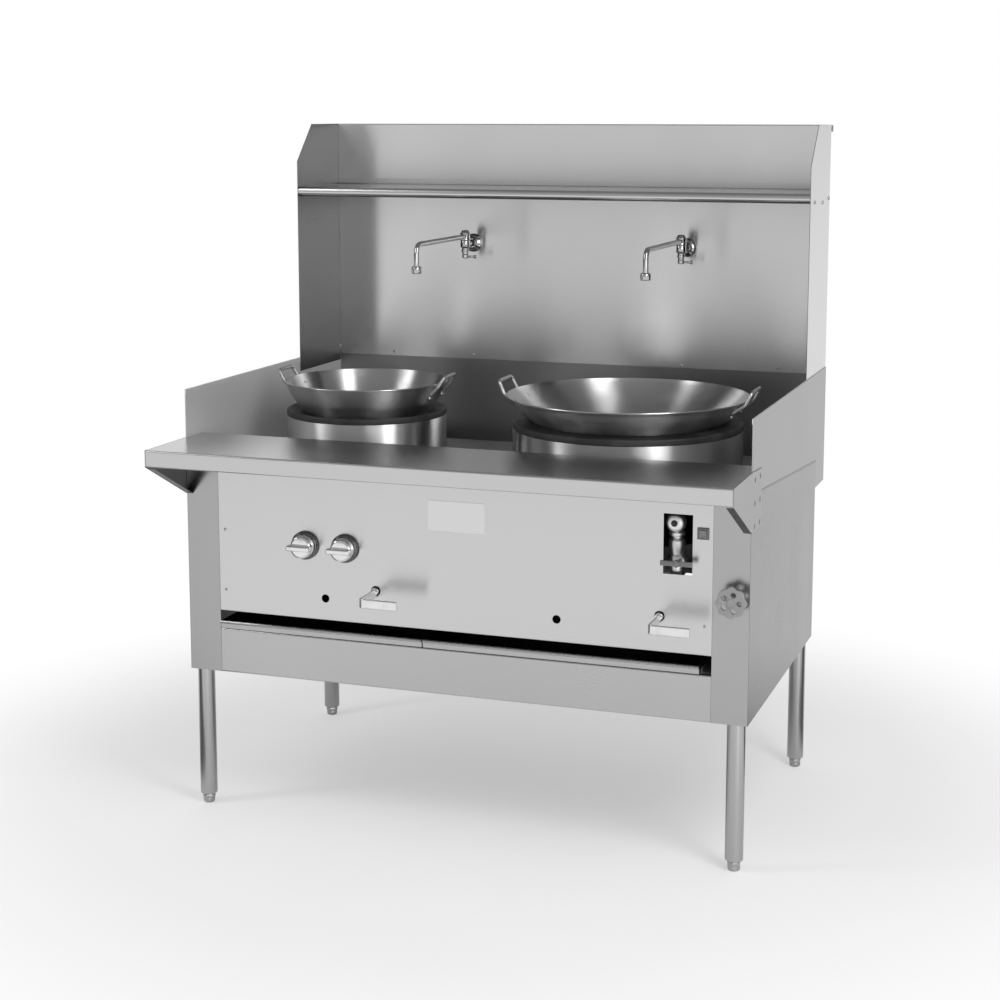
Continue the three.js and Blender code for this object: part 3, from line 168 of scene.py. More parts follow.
def block(name, low, high, edge=0.5, segments=2):
    clear_selection()
    bpy.ops.mesh.primitive_cube_add(size=1, location=(low + high) / 2, scale=high - low)
    return soften(settle(name_active(name)), edge, segments)


# %% [markdown]
# Bent rods and tubes follow a curve. Corners are rounded first, by replacing each with an arc, and the curve
# is given a round section and converted to a mesh.

# %% Bend a rod along a line
def rounded(corners, radius, steps=6):
    """The corners as places, with an arc in millimetres of radius at each one inside the line."""
    path = [corners[0]]
    for before, corner, after in zip(corners, corners[1:], corners[2:]):
        into = (corner - before).normalized()
        out = (after - corner).normalized()
        turn = into.angle(out)
        start = corner - into * (radius / 1000 * math.tan(turn / 2))
        axis = into.cross(out).normalized()
        centre = start + axis.cross(into) * radius / 1000
        for step in range(steps + 1):
            path.append(centre + Matrix.Rotation(turn * step / steps, 3, axis) @ (start - centre))
    return path + [corners[-1]]


def rod(name, corners, radius, bend, sides=4, extrude=0):
    clear_selection()
    bpy.ops.curve.primitive_bezier_curve_add()
    piece = name_active(name)
    piece.location = (0, 0, 0)
    curve = piece.data
    curve.splines.clear()
    path = rounded(corners, bend)
    spline = curve.splines.new("POLY")
    spline.points.add(len(path) - 1)
    for point, at in zip(spline.points, path):
        point.co = (*at, 1)
    curve.dimensions = "3D"
    if extrude:
        curve.twist_mode = "Z_UP"
        curve.extrude = extrude / 1000
    curve.bevel_depth = radius / 1000
    curve.bevel_resolution = sides
    curve.use_fill_caps = True
    bpy.ops.object.convert(target="MESH")
    piece = bpy.context.active_object
    bpy.ops.object.shade_smooth_by_angle(angle=math.radians(40))
    return settle(piece)


# %% [markdown]
# A real piece is often several forms welded or screwed into one, so its parts are joined. What repeats is
# modelled once and copied. Each copy gets its own mesh, because each piece's place is kept in its mesh.

# %% Join and copy finished pieces
def joined(name, *pieces):
    clear_selection()
    for piece in pieces:
        piece.select_set(True)
    bpy.context.view_layer.objects.active = pieces[0]
    bpy.ops.object.join()
    return settle(name_active(name))


def copied(piece, name, move):
    """A copy with its own mesh, moved by a vector in metres."""
    clear_selection()
    piece.select_set(True)
    bpy.context.view_layer.objects.active = piece
    bpy.ops.object.duplicate()
    copy = name_active(name)
    copy.location = move
    return settle(copy)


# %% [markdown]
# ## Finishes
# A shader's sockets can be written as ordinary arithmetic. The class below wraps one socket. Operators add
# Math nodes, and one method adds any other node from its type, its settings and its inputs.

# %% Write shader maths as expressions
class Link:
    """One output socket of a material, usable in Python expressions."""

    def __init__(self, tree, socket):
        self.tree = tree
        self.socket = socket

    def node(self, kind, settings=None, inputs=None, output=0):
        made = self.tree.nodes.new(kind)
        for key, value in (settings or {}).items():
            if key == "stops":
                for element, (position, shade) in zip(made.color_ramp.elements, value):
                    element.position = position
                    element.color = (shade, shade, shade, 1)
            else:
                setattr(made, key, value)
        for key, value in (inputs or {}).items():
            if isinstance(value, Link):
                self.tree.links.new(value.socket, made.inputs[key])
            else:
                made.inputs[key].default_value = value
        return Link(self.tree, made.outputs[output])

    def math(self, operation, *others):
        inputs = dict(enumerate((self, *others)))
        return self.node("ShaderNodeMath", {"operation": operation}, inputs)

    def __add__(self, other):
        return self.math("ADD", other)

    def __radd__(self, other):
        return self + other

    def __mul__(self, other):
        return self.math("MULTIPLY", other)

    def __rmul__(self, other):
        return self * other

    def __sub__(self, other):
        return self.math("SUBTRACT", other)

    def __rsub__(self, other):
        return self.node("ShaderNodeMath", {"operation": "SUBTRACT"}, {0: other, 1: self})

    def noise(self, scale, detail=2.0, roughness=0.5, stretch=(1, 1, 1)):
        """Noise between 0 and 1 with features of about 1/scale metres, drawn out by stretch."""
        vector = self.node("ShaderNodeMapping", {"vector_type": "POINT"}, {"Vector": self, "Scale": stretch})
        inputs = {"Vector": vector, "Scale": scale, "Detail": detail, "Roughness": roughness}
        return self.node("ShaderNodeTexNoise", {}, inputs)

    def stepped(self, low, high):
        """0 below low, 1 above high, and smooth between them."""
        settings = {"interpolation_type": "SMOOTHSTEP"}
        return self.node("ShaderNodeMapRange", settings, {"Value": self, "From Min": low, "From Max": high})

    def blend(self, first, second):
        """The first colour where this is 0 and the second where it is 1. A number is a level of grey."""
        colours = [
            shade if isinstance(shade, (tuple, Link)) else (shade, shade, shade, 1) for shade in (first, second)
        ]
        inputs = {0: self, 6: colours[0], 7: colours[1]}
        return self.node("ShaderNodeMix", {"data_type": "RGBA"}, inputs, output=2)


def new_finish(name, metallic, roughness, smear=0.0):
    """A material, its shader, and the place on the object as a Link.

    Smear draws highlights out up and down, as brushing round an upright axis does.
    """
    material = bpy.data.materials.new(name)
    material.use_nodes = True
    tree = material.node_tree
    shader = tree.nodes["Principled BSDF"]
    shader.inputs["Metallic"].default_value = metallic
    shader.inputs["Roughness"].default_value = roughness
    shader.inputs["Anisotropic"].default_value = smear
    shader.inputs["Anisotropic Rotation"].default_value = 0.25
    coordinates = tree.nodes.new("ShaderNodeTexCoord")
    return material, shader, Link(tree, coordinates.outputs["Object"])


def connect(shader, **links):
    for key, value in links.items():
        value.tree.links.new(value.socket, shader.inputs[key.replace("_", " ")])


def bump(height, strength, distance):
    inputs = {"Height": height, "Strength": strength, "Distance": distance}
    return height.node("ShaderNodeBump", {}, inputs)


# %% [markdown]
# ### Brushed sheet
# Stainless sheet is brushed in one direction at the mill. The brushing shows as very fine lines, as a slight
# spread of the highlights across them, and as broad soft bands where the sheet isn't quite flat. Fine noise
# drawn out along the grain gives the lines. A slow noise gives the bands and the faint handling marks.
#
# A sheet's two sides may be given different brightness, which is painted light and shade, and a sheet may carry
# details such as soot with painted shade, and a painted shadow. Both could be pieces of their own, but they lie on
# the sheet's own faces, so they are changes of colour by the place on the object.

# %% Details that a sheet may carry
GRAIN = {"x": (0.6, 60, 60), "y": (60, 0.6, 60), "z": (60, 60, 0.6)}
SIDE_SKIN = (0.6845, 0.6853)  # from the middle, just inside a side panel's inner and outer faces
DECK_AT_FRONT = 0.8642
DECK_FALL = 0.0778  # for each metre back


def axes(at):
    return [at.node("ShaderNodeSeparateXYZ", {}, {0: at}, output=index) for index in range(3)]


def soot_and_painted_shade(at, colour):
    """Painted shade and soot: the inner faces of the cabinet are made near black, from just behind the front face to
    halfway back.
    """
    across, depth, _ = axes(at)
    inside = 1 - across.math("ABSOLUTE").stepped(*SIDE_SKIN)
    behind = depth.stepped(place(0, 1.6, 0).y, place(0, 3, 0).y) * (1 - depth.stepped(-0.1, 0.0))
    return (behind * inside).blend(colour, 0.012)


def painted_seam_shadow(at, colour):
    """A painted shadow darkens the outer faces just under the splash, along the sloping top edge of the side panel.
    """
    across, depth, height = axes(at)
    outer = across.math("ABSOLUTE").stepped(*SIDE_SKIN)
    below = DECK_AT_FRONT - (depth - FRONT) * DECK_FALL - height
    return ((1 - below.stepped(0.003, 0.008)) * outer * 0.75).blend(colour, 0.02)


def bolt_heads(at, colour):
    """Six dark heads of flush screws hold each ledge bracket."""
    flat = at.node("ShaderNodeVectorMath", {"operation": "MULTIPLY"}, {0: at, 1: (0, 1, 1)})
    for y in (24, 78):
        for z in (890, 838, 787):
            inputs = {0: flat, 1: tuple(place(0, y, z))}
            gap = flat.node("ShaderNodeVectorMath", {"operation": "DISTANCE"}, inputs, output=1)
            colour = gap.stepped(0.0045, 0.008).blend(0.05, colour)
    return colour


# %% [markdown]
# One function makes every brushed sheet. Its grain may run along any axis, and a duller or brighter sheet
# differs only in its numbers.

# %% Brushed stainless
def brushed_sheet(name, grain, shade, roughness, smear=0.0, bands=0.05, painted_sides=None, details=()):
    """The painted sides give a distance from the middle in metres, then a brightness within it and beyond it, which
    is painted light and shade on the sheet's two sides, then how metallic the faces within it and beyond it are.
    Each detail changes the colour in turn.
    """
    material, shader, at = new_finish(name, 1.0, roughness, smear=smear)
    lines = at.noise(9, 3.0, 0.6, GRAIN[grain])
    hairs = at.noise(60, 2.0, 0.6, GRAIN[grain])
    slow = at.noise(2.2, 2.0, 0.5, (2.0, 2.0, 0.35))
    marks = at.noise(5, 2.0, 0.5).stepped(0.45, 0.75)
    tone = lines * 0.05 + hairs * 0.05 + slow * bands + marks * 0.03
    level = tone + (0.435 - bands * 0.5)
    rough = lines * 0.04 + marks * 0.02 + slow * 0.05 + (roughness - 0.055)
    colour = level.blend(shade * 0.55, min(shade * 1.45, 1.0))
    # Painted light and shade: the faces within the edge and beyond it get their own brightness.
    if painted_sides:
        edge, within, beyond, metal_within, metal_beyond = painted_sides
        across = at.node("ShaderNodeSeparateXYZ", {}, {0: at}).math("ABSOLUTE")
        outer = across.stepped(edge - 0.0003, edge + 0.0003)
        inner_colour, outer_colour = (
            level.blend(shade * share * 0.55, min(shade * share * 1.45, 1.0)) for share in (within, beyond)
        )
        colour = outer.blend(inner_colour, outer_colour)
        connect(shader, Metallic=outer * (metal_beyond - metal_within) + metal_within)
    for detail in details:
        colour = detail(at, colour)
    connect(shader, Base_Color=colour, Roughness=rough, Normal=bump(hairs, 0.15, 0.0001))
    return material


panel_steel = brushed_sheet("panel_steel", "x", 0.64, 0.24, 0.8)
apron_steel = brushed_sheet("apron_steel", "x", 0.52, 0.26, 0.8)
# Painted light and shade: the side panels' outer faces and the inner faces of the wings and ledge brackets are
# darkened, the splashes' inner faces are brightened, and the posts carry painted shade inside the cabinet and a
# painted shadow under the splash.
post_steel = brushed_sheet(
    "post_steel", "z", 0.42, 0.26, painted_sides=(0.685, 1.0, 0.47, 1.0, 0.55), details=(soot_and_painted_shade, painted_seam_shadow)
)
side_steel = brushed_sheet("side_steel", "y", 0.44, 0.38, painted_sides=(0.685, 2.0, 0.92, 0.5, 0.9))
guard_steel = brushed_sheet("guard_steel", "x", 0.82, 0.24, 0.95, 0.25)
wing_steel = brushed_sheet("wing_steel", "y", 0.60, 0.26, 0.9, painted_sides=(0.6833, 0.2, 0.92, 1.0, 1.0))
plate_steel = brushed_sheet("plate_steel", "x", 0.74, 0.3)
bracket_steel = brushed_sheet(
    "bracket_steel", "y", 0.40, 0.38, painted_sides=(0.6867, 0.3, 1.0, 1.0, 1.0), details=(bolt_heads,)
)
ledge_steel = brushed_sheet("ledge_steel", "x", 0.58, 0.25)
tube_steel = brushed_sheet("tube_steel", "z", 0.50, 0.24, 0.9)
print("brushed finishes", [material.name for material in bpy.data.materials])

# %% [markdown]
# ### Deck that has been near the fire
# The deck and gutter lie under the woks. They are the same sheet, but heat and wiped-off oil have dulled and
# darkened them in patches.

# %% Heat-dulled sheet
def worn_sheet(name, shade):
    material, shader, at = new_finish(name, 1.0, 0.35)
    lines = at.noise(9, 3.0, 0.6, GRAIN["x"])
    stains = at.noise(4, 3.0, 0.5).stepped(0.3, 0.75)
    level = lines * 0.14 + stains * 0.14 + 0.28
    connect(
        shader,
        Base_Color=level.blend(shade * 1.3, shade * 0.5),
        Roughness=stains * 0.08 + lines * 0.1 + 0.26,
        Normal=bump(lines, 0.1, 0.0004),
    )
    return material


deck_steel = worn_sheet("deck_steel", 0.36)
print(deck_steel.name, len(deck_steel.node_tree.nodes), "nodes")

# %% [markdown]
# ### Drip trays
# The trays catch burnt oil. Their front lips are wiped bright, and everything behind the lips is black, which stands
# for both the burnt oil and painted shade inside the cabinet.

# %% Blackened trays with bright lips
def tray_finish(name, lip):
    material, shader, at = new_finish(name, 1.0, 0.3)
    back = at.node("ShaderNodeSeparateXYZ", {}, {0: at}, output=1)
    crust = at.noise(30, 4.0, 0.65)
    # Behind the lip: burnt oil and painted shade.
    inside = (back + crust * 0.004).stepped(lip, lip + 0.004)
    clean = at.noise(9, 3.0, 0.6, GRAIN["x"]).blend(0.42, 0.5)
    connect(
        shader,
        Base_Color=inside.blend(clean, crust.blend(0.008, 0.03)),
        Roughness=inside * 0.25 + crust * 0.15 + 0.2,
        Normal=bump(crust, 0.2, 0.0008),
    )
    return material


tray_steel = tray_finish("tray_steel", place(0, 5, 0).y)
print(tray_steel.name, len(tray_steel.node_tree.nodes), "nodes")

# %% [markdown]
# ### Bright rolled steel
# The woks and chambers are spun or rolled, so their fine marks run round the axis. The distance from the
# axis feeds the noise inside a wok, and the height feeds it on a chamber, which makes rings instead of lines.

# %% Turned steel with rings about an axis
def ringed_steel(name, centre, shade, roughness, contrast=0.12):
    material, shader, at = new_finish(name, 1.0, roughness, smear=0.95)
    inputs = {"Vector": at, "Location": (-centre.x, -centre.y, -centre.z)}
    local = at.node("ShaderNodeMapping", {"vector_type": "POINT"}, inputs)
    flat = local.node("ShaderNodeVectorMath", {"operation": "MULTIPLY"}, {0: local, 1: (1, 1, 0)})
    reach = flat.node("ShaderNodeVectorMath", {"operation": "LENGTH"}, {0: flat}, output=1)
    height = local.node("ShaderNodeSeparateXYZ", {}, {0: local}, output=2)
    path = reach.node("ShaderNodeCombineXYZ", {}, {0: reach, 1: height, 2: 0.0})
    rings = path.noise(220, 3.0, 0.6)
    broad = path.noise(38, 2.0, 0.5)
    smears = at.noise(9, 4.0, 0.6).stepped(0.4, 0.75)
    level = rings * contrast + broad * contrast + smears * 0.1 + (0.45 - contrast)
    connect(
        shader,
        Base_Color=level.blend(shade * 0.6, min(shade * 1.4, 1.0)),
        Roughness=rings * 0.1 + smears * 0.12 + (roughness - 0.08),
        Normal=bump(rings + broad, 0.15, 0.0003),
    )
    return material


def ringed_pair(kind, left_shade, right_shade):
    """The finish of both woks or both chambers, each with rings about its own axis."""
    shades = {"left": left_shade, "right": right_shade}
    return {
        side: ringed_steel(f"{kind}_steel_{side}", middle(f"{kind}_{side}"), shade, 0.33)
        for side, shade in shades.items()
    }


# Painted shade: each pair is one steel, but the left wok and the right chamber are given darker shades than their
# twins.
wok_steel = ringed_pair("wok", 0.47, 0.58)
chamber_steel = ringed_pair("chamber", 0.5, 0.4)
print("ringed finishes", len(wok_steel) + len(chamber_steel))

# %% [markdown]
# ### Castings
# The rings and burners are rough castings, black from use. Fine noise gives the pits that the sand leaves,
# and a slower noise the soot.

# %% Black iron
def iron_finish(name, shade):
    material, shader, at = new_finish(name, 0.35, 0.6)
    pits = at.noise(420, 3.0, 0.6)
    soot_and_painted_shade = at.noise(14, 4.0, 0.6).stepped(0.35, 0.7)
    level = pits * 0.4 + soot_and_painted_shade * 0.6
    connect(
        shader,
        Base_Color=level.blend(shade * 0.6, shade * 2.2),
        Roughness=soot_and_painted_shade * 0.2 + pits * 0.15 + 0.38,
        Normal=bump(pits, 0.35, 0.0006),
    )
    return material


# %% [markdown]
# ### Plating
# The levers, knobs and faucets are plated, so they are nearly mirrors, with a little waviness left from the
# polishing. Worn, cast and dark plating differ only in shade and roughness. The valves' brass is kept grey,
# because the photograph has no colour and they hardly show.

# %% Plated and polished pieces
def plated_finish(name, shade, roughness):
    material, shader, at = new_finish(name, 1.0, roughness)
    waves = at.noise(60, 2.0, 0.5)
    film = at.noise(35, 4.0, 0.6).stepped(0.45, 0.8)
    connect(
        shader,
        Base_Color=(film * 0.6 + waves * 0.4).blend(shade, shade * 0.82),
        Roughness=film * 0.12 + waves * 0.04 + roughness,
        Normal=bump(waves, 0.05, 0.0008),
    )
    return material


# %% [markdown]
# ### Coatings
# Paint, enamel and moulded plastic have a faint orange peel and hold some dust. Neither is a mirror, and the
# same function makes them all.

# %% Painted and moulded pieces
def coated_finish(name, colour, roughness, grain=300, metallic=0.0):
    material, shader, at = new_finish(name, metallic, roughness)
    peel = at.noise(grain, 2.0, 0.5)
    dust = at.noise(22, 4.0, 0.6).stepped(0.45, 0.8)
    dark = tuple(value * 0.75 for value in colour) + (1,)
    light = tuple(min(value * 1.35, 1) for value in colour) + (1,)
    connect(
        shader,
        Base_Color=(dust * 0.6 + peel * 0.4).blend(dark, light),
        Roughness=dust * 0.15 + peel * 0.1 + (roughness - 0.08),
        Normal=bump(peel, 0.2, 0.0003),
    )
    return material


black_iron = iron_finish("black_iron", 0.022)
chrome = plated_finish("chrome", 0.78, 0.07)
dull_plate = plated_finish("dull_plate", 0.5, 0.28)
worn_chrome = plated_finish("worn_chrome", 0.5, 0.1)
cast_plate = plated_finish("cast_plate", 0.85, 0.4)
# Dark plating on the igniter bezel, and painted shade with a painted dark reflection on the knob skirts.
dark_plate_and_painted_shade = plated_finish("dark_plate_and_painted_shade", 0.16, 0.22)
satin_brass = plated_finish("satin_brass", 0.42, 0.3)
dark_pipe = coated_finish("dark_pipe", (0.06, 0.06, 0.062), 0.5, metallic=0.4)
frame_paint = coated_finish("frame_paint", (0.16, 0.16, 0.165), 0.5)
grey_enamel = coated_finish("grey_enamel", (0.2, 0.2, 0.205), 0.38)
cast_grey = coated_finish("cast_grey", (0.33, 0.33, 0.335), 0.45)
black_plastic = coated_finish("black_plastic", (0.02, 0.02, 0.021), 0.4, 600)
print("finishes", len(bpy.data.materials))

# %% [markdown]
# ## Finishes on the CAD nodes that stay
# Folded sheets are right as they are, and so are the pipes, valves and burners that hardly show. Their nodes
# stay and only their material changes.

# %% Give the kept nodes their finishes
def finish_node(node, material):
    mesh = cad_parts[node].data
    mesh.materials.clear()
    mesh.materials.append(material)


KEPT_NODES = {
    "panel_steel": ["control_panel"],
    "apron_steel": ["apron"],
    "post_steel": ["side_panel_left", "side_panel_right", "cabinet_back"],
    "wing_steel": ["wing_left", "wing_right"],
    "guard_steel": ["back_guard"],
    "ledge_steel": ["ledge", "overshelf"],
    "tray_steel": ["drip_tray_left", "drip_tray_right"],
    "side_steel": ["side_splash_left", "side_splash_right"],
    "bracket_steel": ["ledge_bracket_left", "ledge_bracket_right"],
    "deck_steel": ["deck_plate", "gutter"],
    "frame_paint": ["base_frame", "tray_rack"],
    "dark_pipe": ["gas_manifold", "gas_inlet_pipe"],
    "satin_brass": [
        "gas_valve_left", "gas_valve_right", "pilot_valve_left", "pilot_valve_right", "shutoff_valve",
    ],
    "black_iron": ["burner_left", "burner_right"],
    "dull_plate": ["drain_strainer"],
}
for material_name, nodes in KEPT_NODES.items():
    for node in nodes:
        finish_node(node, bpy.data.materials[material_name])
print("sheets and pipes finished", sum(len(nodes) for nodes in KEPT_NODES.values()))

# %% [markdown]
# A new piece needs three things: a finish, the body that it rides on, and the names of the nodes that it
# stands for.

# %% Dress a new piece
def dress(piece, material, body, slot, *nodes):
    for note in list(piece.keys()):  # a copy brings its model's notes along
        del piece[note]
    piece.data.materials.clear()
    piece.data.materials.append(material)
    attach(piece, body)
    if nodes:
        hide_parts(*nodes)
    print(piece.name, len(piece.data.polygons), "faces on", body)
    return piece


# %% [markdown]
# ## Legs and feet
# The legs are tube, with a plug in the lower end that takes the foot's stem. The bullet foot has a hexagon so
# that a spanner can level the range. One leg and one foot are turned, and the others are copies.

# %% Turn a leg and copy it
LEG_OUTLINE = [
    (8.3, 24), (18.2, 24), (19.9, 24.8), (20.65, 27), (20.65, 341.7), (19.15, 341.7), (19.15, 38), (8.3, 38),
    (8.3, 24),
]
FOOT_OUTLINE = [
    (0, 0), (10.3, 0), (12.6, 1.2), (13.8, 4), (14.2, 8), (13.2, 11.5), (13.2, 23), (12.4, 23.7), (8, 23.7),
    (8, 72.5), (0, 72.5),
]
corners = ["front_left", "front_right", "rear_left", "rear_right"]
first = middle("leg_front_left")
first_axis = Vector((first.x, first.y, 0))
leg = turned("tube_leg", LEG_OUTLINE, first_axis, steps=48)
foot_turned = turned("bullet_foot", FOOT_OUTLINE, first_axis, steps=40)
clear_selection()
hexagon_at = first_axis + Vector((0, 0, 0.0165))
bpy.ops.mesh.primitive_cylinder_add(vertices=6, radius=0.0154, depth=0.009, location=hexagon_at)
foot_hexagon = soften(settle(name_active("hexagon")), 0.7)
foot = joined("bullet_foot", foot_turned, foot_hexagon)
for corner in corners:
    at = middle("leg_" + corner)
    move = Vector((at.x - first.x, at.y - first.y, 0))
    own_leg = leg if corner == "front_left" else copied(leg, "tube_leg_" + corner, move)
    own_foot = foot if corner == "front_left" else copied(foot, "bullet_foot_" + corner, move)
    dress(own_leg, tube_steel, "cabinet", "brushed_stainless", "leg_" + corner)
    dress(own_foot, dull_plate, "foot_" + corner, "foot_steel", "foot_" + corner)

# %% [markdown]
# ## Chambers
# Each chamber is a short cylinder rolled from sheet with a flat rim, standing through the deck.

# %% Turn the chambers
STATIONS = {
    "left": {
        "radius": 200.5, "open": 119, "seat": 159, "seat_height": 8,
        "rim": 202, "depth": 145, "loop": 84, "rise": 20,
    },
    "right": {
        "radius": 277, "open": 163, "seat": 233, "seat_height": 18,
        "rim": 290, "depth": 141, "loop": 100, "rise": 26,
    },
}
CHAMBER_BOTTOM = 695
CHAMBER_TOP = 928


def station_axis(side):
    at = middle("chamber_" + side)
    return Vector((at.x, at.y, 0))


for side, size in STATIONS.items():
    outer = size["radius"]
    outline = [
        (size["open"], CHAMBER_BOTTOM), (outer, CHAMBER_BOTTOM), (outer, CHAMBER_TOP - 1),
        (outer - 0.6, CHAMBER_TOP), (outer - 3, CHAMBER_TOP), (outer - 3, CHAMBER_BOTTOM + 3),
        (size["open"], CHAMBER_BOTTOM + 3),
        (size["open"], CHAMBER_BOTTOM),
    ]
    drum = turned("chamber_drum_" + side, outline, station_axis(side), steps=128)
    dress(drum, chamber_steel[side], "cabinet", "polished_stainless", "chamber_" + side)

# %% [markdown]
# ## Wok rings
# The ring is cast iron. It has a spigot inside the chamber, a wall over its rim, and a dished top that leads
# to the lip that carries the wok. Castings have rounded edges, so the outline turns its corners in short steps.

# %% Turn the wok rings
for side, size in STATIONS.items():
    rest = CHAMBER_TOP + 0.3
    lip = CHAMBER_TOP + size["seat_height"]
    outer = size["radius"]
    spigot = outer - 4
    seat = size["seat"]
    outline = [
        (spigot, rest - 12), (spigot, rest), (outer - 0.8, rest), (outer, rest + 1), (outer, rest + 11.5),
        (outer - 0.6, rest + 13.2), (outer - 1.8, rest + 14.4), (outer - 3.6, rest + 15), (outer - 8.4, rest + 15),
        (outer - 10.6, rest + 14.6), (seat + 9, lip + 0.3), (seat + 7, lip), (seat + 1, lip), (seat, lip - 0.5),
        (seat - 5, lip - 9), (spigot - 6, rest - 12), (spigot, rest - 12),
    ]
    cast_ring = turned("cast_ring_" + side, outline, station_axis(side), steps=128)
    dress(cast_ring, black_iron, "cabinet", "black_iron", "wok_ring_" + side)

# %% [markdown]
# ## Woks
# A wok is part of a sphere with a rolled rim. The rim bead hides the raw edge and stiffens the bowl. The
# outline goes down the inside and back up the outside, so that the shell has a real thickness. Each end has
# one bent rod for a handle, held by two rivets.

# %% Turn the woks and bend their handles
WALL = 1.6


def sphere_line(radius, centre, start, end, count=26):
    angles = [start + (end - start) * step / count for step in range(count + 1)]
    return [(radius * math.sin(angle), centre - radius * math.cos(angle)) for angle in angles]


def wok_shape(size):
    inside = (size["rim"] ** 2 + size["depth"] ** 2) / (2 * size["depth"])
    outside = inside + WALL
    centre = CHAMBER_TOP + size["seat_height"] + 0.6 + math.sqrt(outside**2 - size["seat"] ** 2)
    return inside, outside, centre


for side, size in STATIONS.items():
    inside, outside, centre = wok_shape(size)
    rim = size["rim"]
    rim_height = centre - inside + size["depth"]
    sweep = math.acos((inside - size["depth"]) / inside)
    bead = [
        (rim + 0.5, rim_height + 1.1), (rim + 1.6, rim_height + 1.4), (rim + 2.7, rim_height + 1),
        (rim + 3.3, rim_height - 0.2), (rim + 3.1, rim_height - 1.4), (rim + 2.2, rim_height - 2.2),
    ]
    bowl = turned(
        "wok_bowl_" + side,
        sphere_line(inside, centre, 0, sweep) + bead + sphere_line(outside, centre, sweep * 0.992, 0),
        station_axis(side),
        steps=144,
    )
    axis = station_axis(side)
    half = size["loop"] / 2
    base = rim_height - 24
    wall_reach = math.sqrt(outside**2 - (centre - base) ** 2) - WALL / 2
    root = math.sqrt(wall_reach**2 - half**2)
    parts = [bowl]
    for hand in (-1, 1):
        line = [
            (root, -half, base), (rim + 8, -half, rim_height - 4), (rim + 22, -half + 4, rim_height + size["rise"]),
            (rim + 22, half - 4, rim_height + size["rise"]), (rim + 8, half, rim_height - 4), (root, half, base),
        ]
        places = [axis + Vector((hand * out, across, up)) / 1000 for out, across, up in line]
        parts.append(rod("loop", places, 4.5, 11))
        for across in (-half, half):
            tilt = math.atan2(wall_reach, centre - base)
            rivet_at = axis + Vector((hand * (root - 1.5), across, base - 10)) / 1000
            head = [(0, 3.4), (2.6, 3), (4.6, 1.6), (5.4, 0), (5.4, -2.5), (0, -2.5)]
            outward = Vector((hand * math.sin(tilt), 0, -math.cos(tilt)))
            parts.append(turned("rivet", head, rivet_at, outward.normalized(), 16))
    wok = joined("wok_" + side + "_spun", *parts)
    dress(wok, wok_steel[side], "wok_" + side, "polished_stainless", "wok_" + side)

# %% [markdown]
# ## Pilot knobs
# Each knob has a round skirt, a body that narrows to its face, and a bar across the face to turn it by. The
# skirt is made dark as painted shade and a painted dark reflection, so it is a piece of its own that rides on the
# same body.

# %% Turn the knobs and add their grips
SKIRT_OUTLINE = [
    (0, 1.5), (32.4, 1.5), (33.6, 2.6), (34, 4.2), (33.8, 6.6), (33, 8.6), (31.4, 10), (29.2, 10.8), (28.4, 12.4),
    (0, 12.4),
]
BODY_OUTLINE = [
    (0, 12.3), (28.3, 12.3), (27.6, 20), (26.5, 28), (25.6, 30.4), (23.5, 32), (21, 32.6), (0, 33),
]


def knob(side):
    node = "pilot_knob_" + side
    low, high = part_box(node)
    at = Vector(((low[0] + high[0]) / 2, FRONT, (low[2] + high[2]) / 2))
    body = turned("body", BODY_OUTLINE, at, (0, -1, 0), 56)
    grip = block("grip", at + Vector((-0.029, -0.049, -0.006)), at + Vector((0.029, -0.028, 0.006)), 2.8, 4)
    shaft = turned("shaft", [(0, -38), (3.6, -38), (4, -37.5), (4, 5), (0, 5)], at, (0, -1, 0), 24)
    dress(joined("knob_" + side, body, grip, shaft), chrome, node, "chrome", node)
    # The dark skirt is painted shade and a painted dark reflection round the knob.
    dress(turned("knob_skirt_" + side, SKIRT_OUTLINE, at, (0, -1, 0), 56), dark_plate_and_painted_shade, node, "chrome")


for side in ("left", "right"):
    knob(side)

# %% [markdown]
# ## Burner levers
# Each lever is a flat bar with round edges, bent to the right, on a round stem. A flat curve that is extruded
# up and down and given a bevel makes the bar in one go.

# %% Bend the levers
def strap(name, corners, bend, height, thickness):
    """A flat bar on edge that follows a level line."""
    return rod(name, corners, thickness / 2, bend, 4, (height - thickness) / 2)


for side in ("left", "right"):
    low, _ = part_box("gas_lever_" + side)
    stem_at = Vector((low[0] + 0.009, FRONT, 0.575))
    line = [stem_at + Vector(step) / 1000 for step in ((0, -7, -6), (0, -97.5, -6), (92, -97.5, -6))]
    bar = strap("lever_bar", line, 9, 22, 5)
    stem = turned("lever_stem", [
        (0, -44), (6.2, -44), (6.2, 4), (9, 4.4), (9, 9), (8, 10.6), (5, 11.6), (0, 12),
    ], stem_at, (0, -1, 0), 32)
    dress(joined("lever_" + side, bar, stem), chrome, "gas_lever_" + side, "chrome", "gas_lever_" + side)

# %% [markdown]
# ## Faucets
# Each faucet has a body fixed to the guard by a round flange, a spout that swings on top of it, and a small
# lever under the bonnet. The body, spout and lever are separate pieces because each moves on its own.

# %% Turn and bend the faucets
FORWARD = (math.pi / 2, 0, 0)  # turns a cylinder's axis to the front


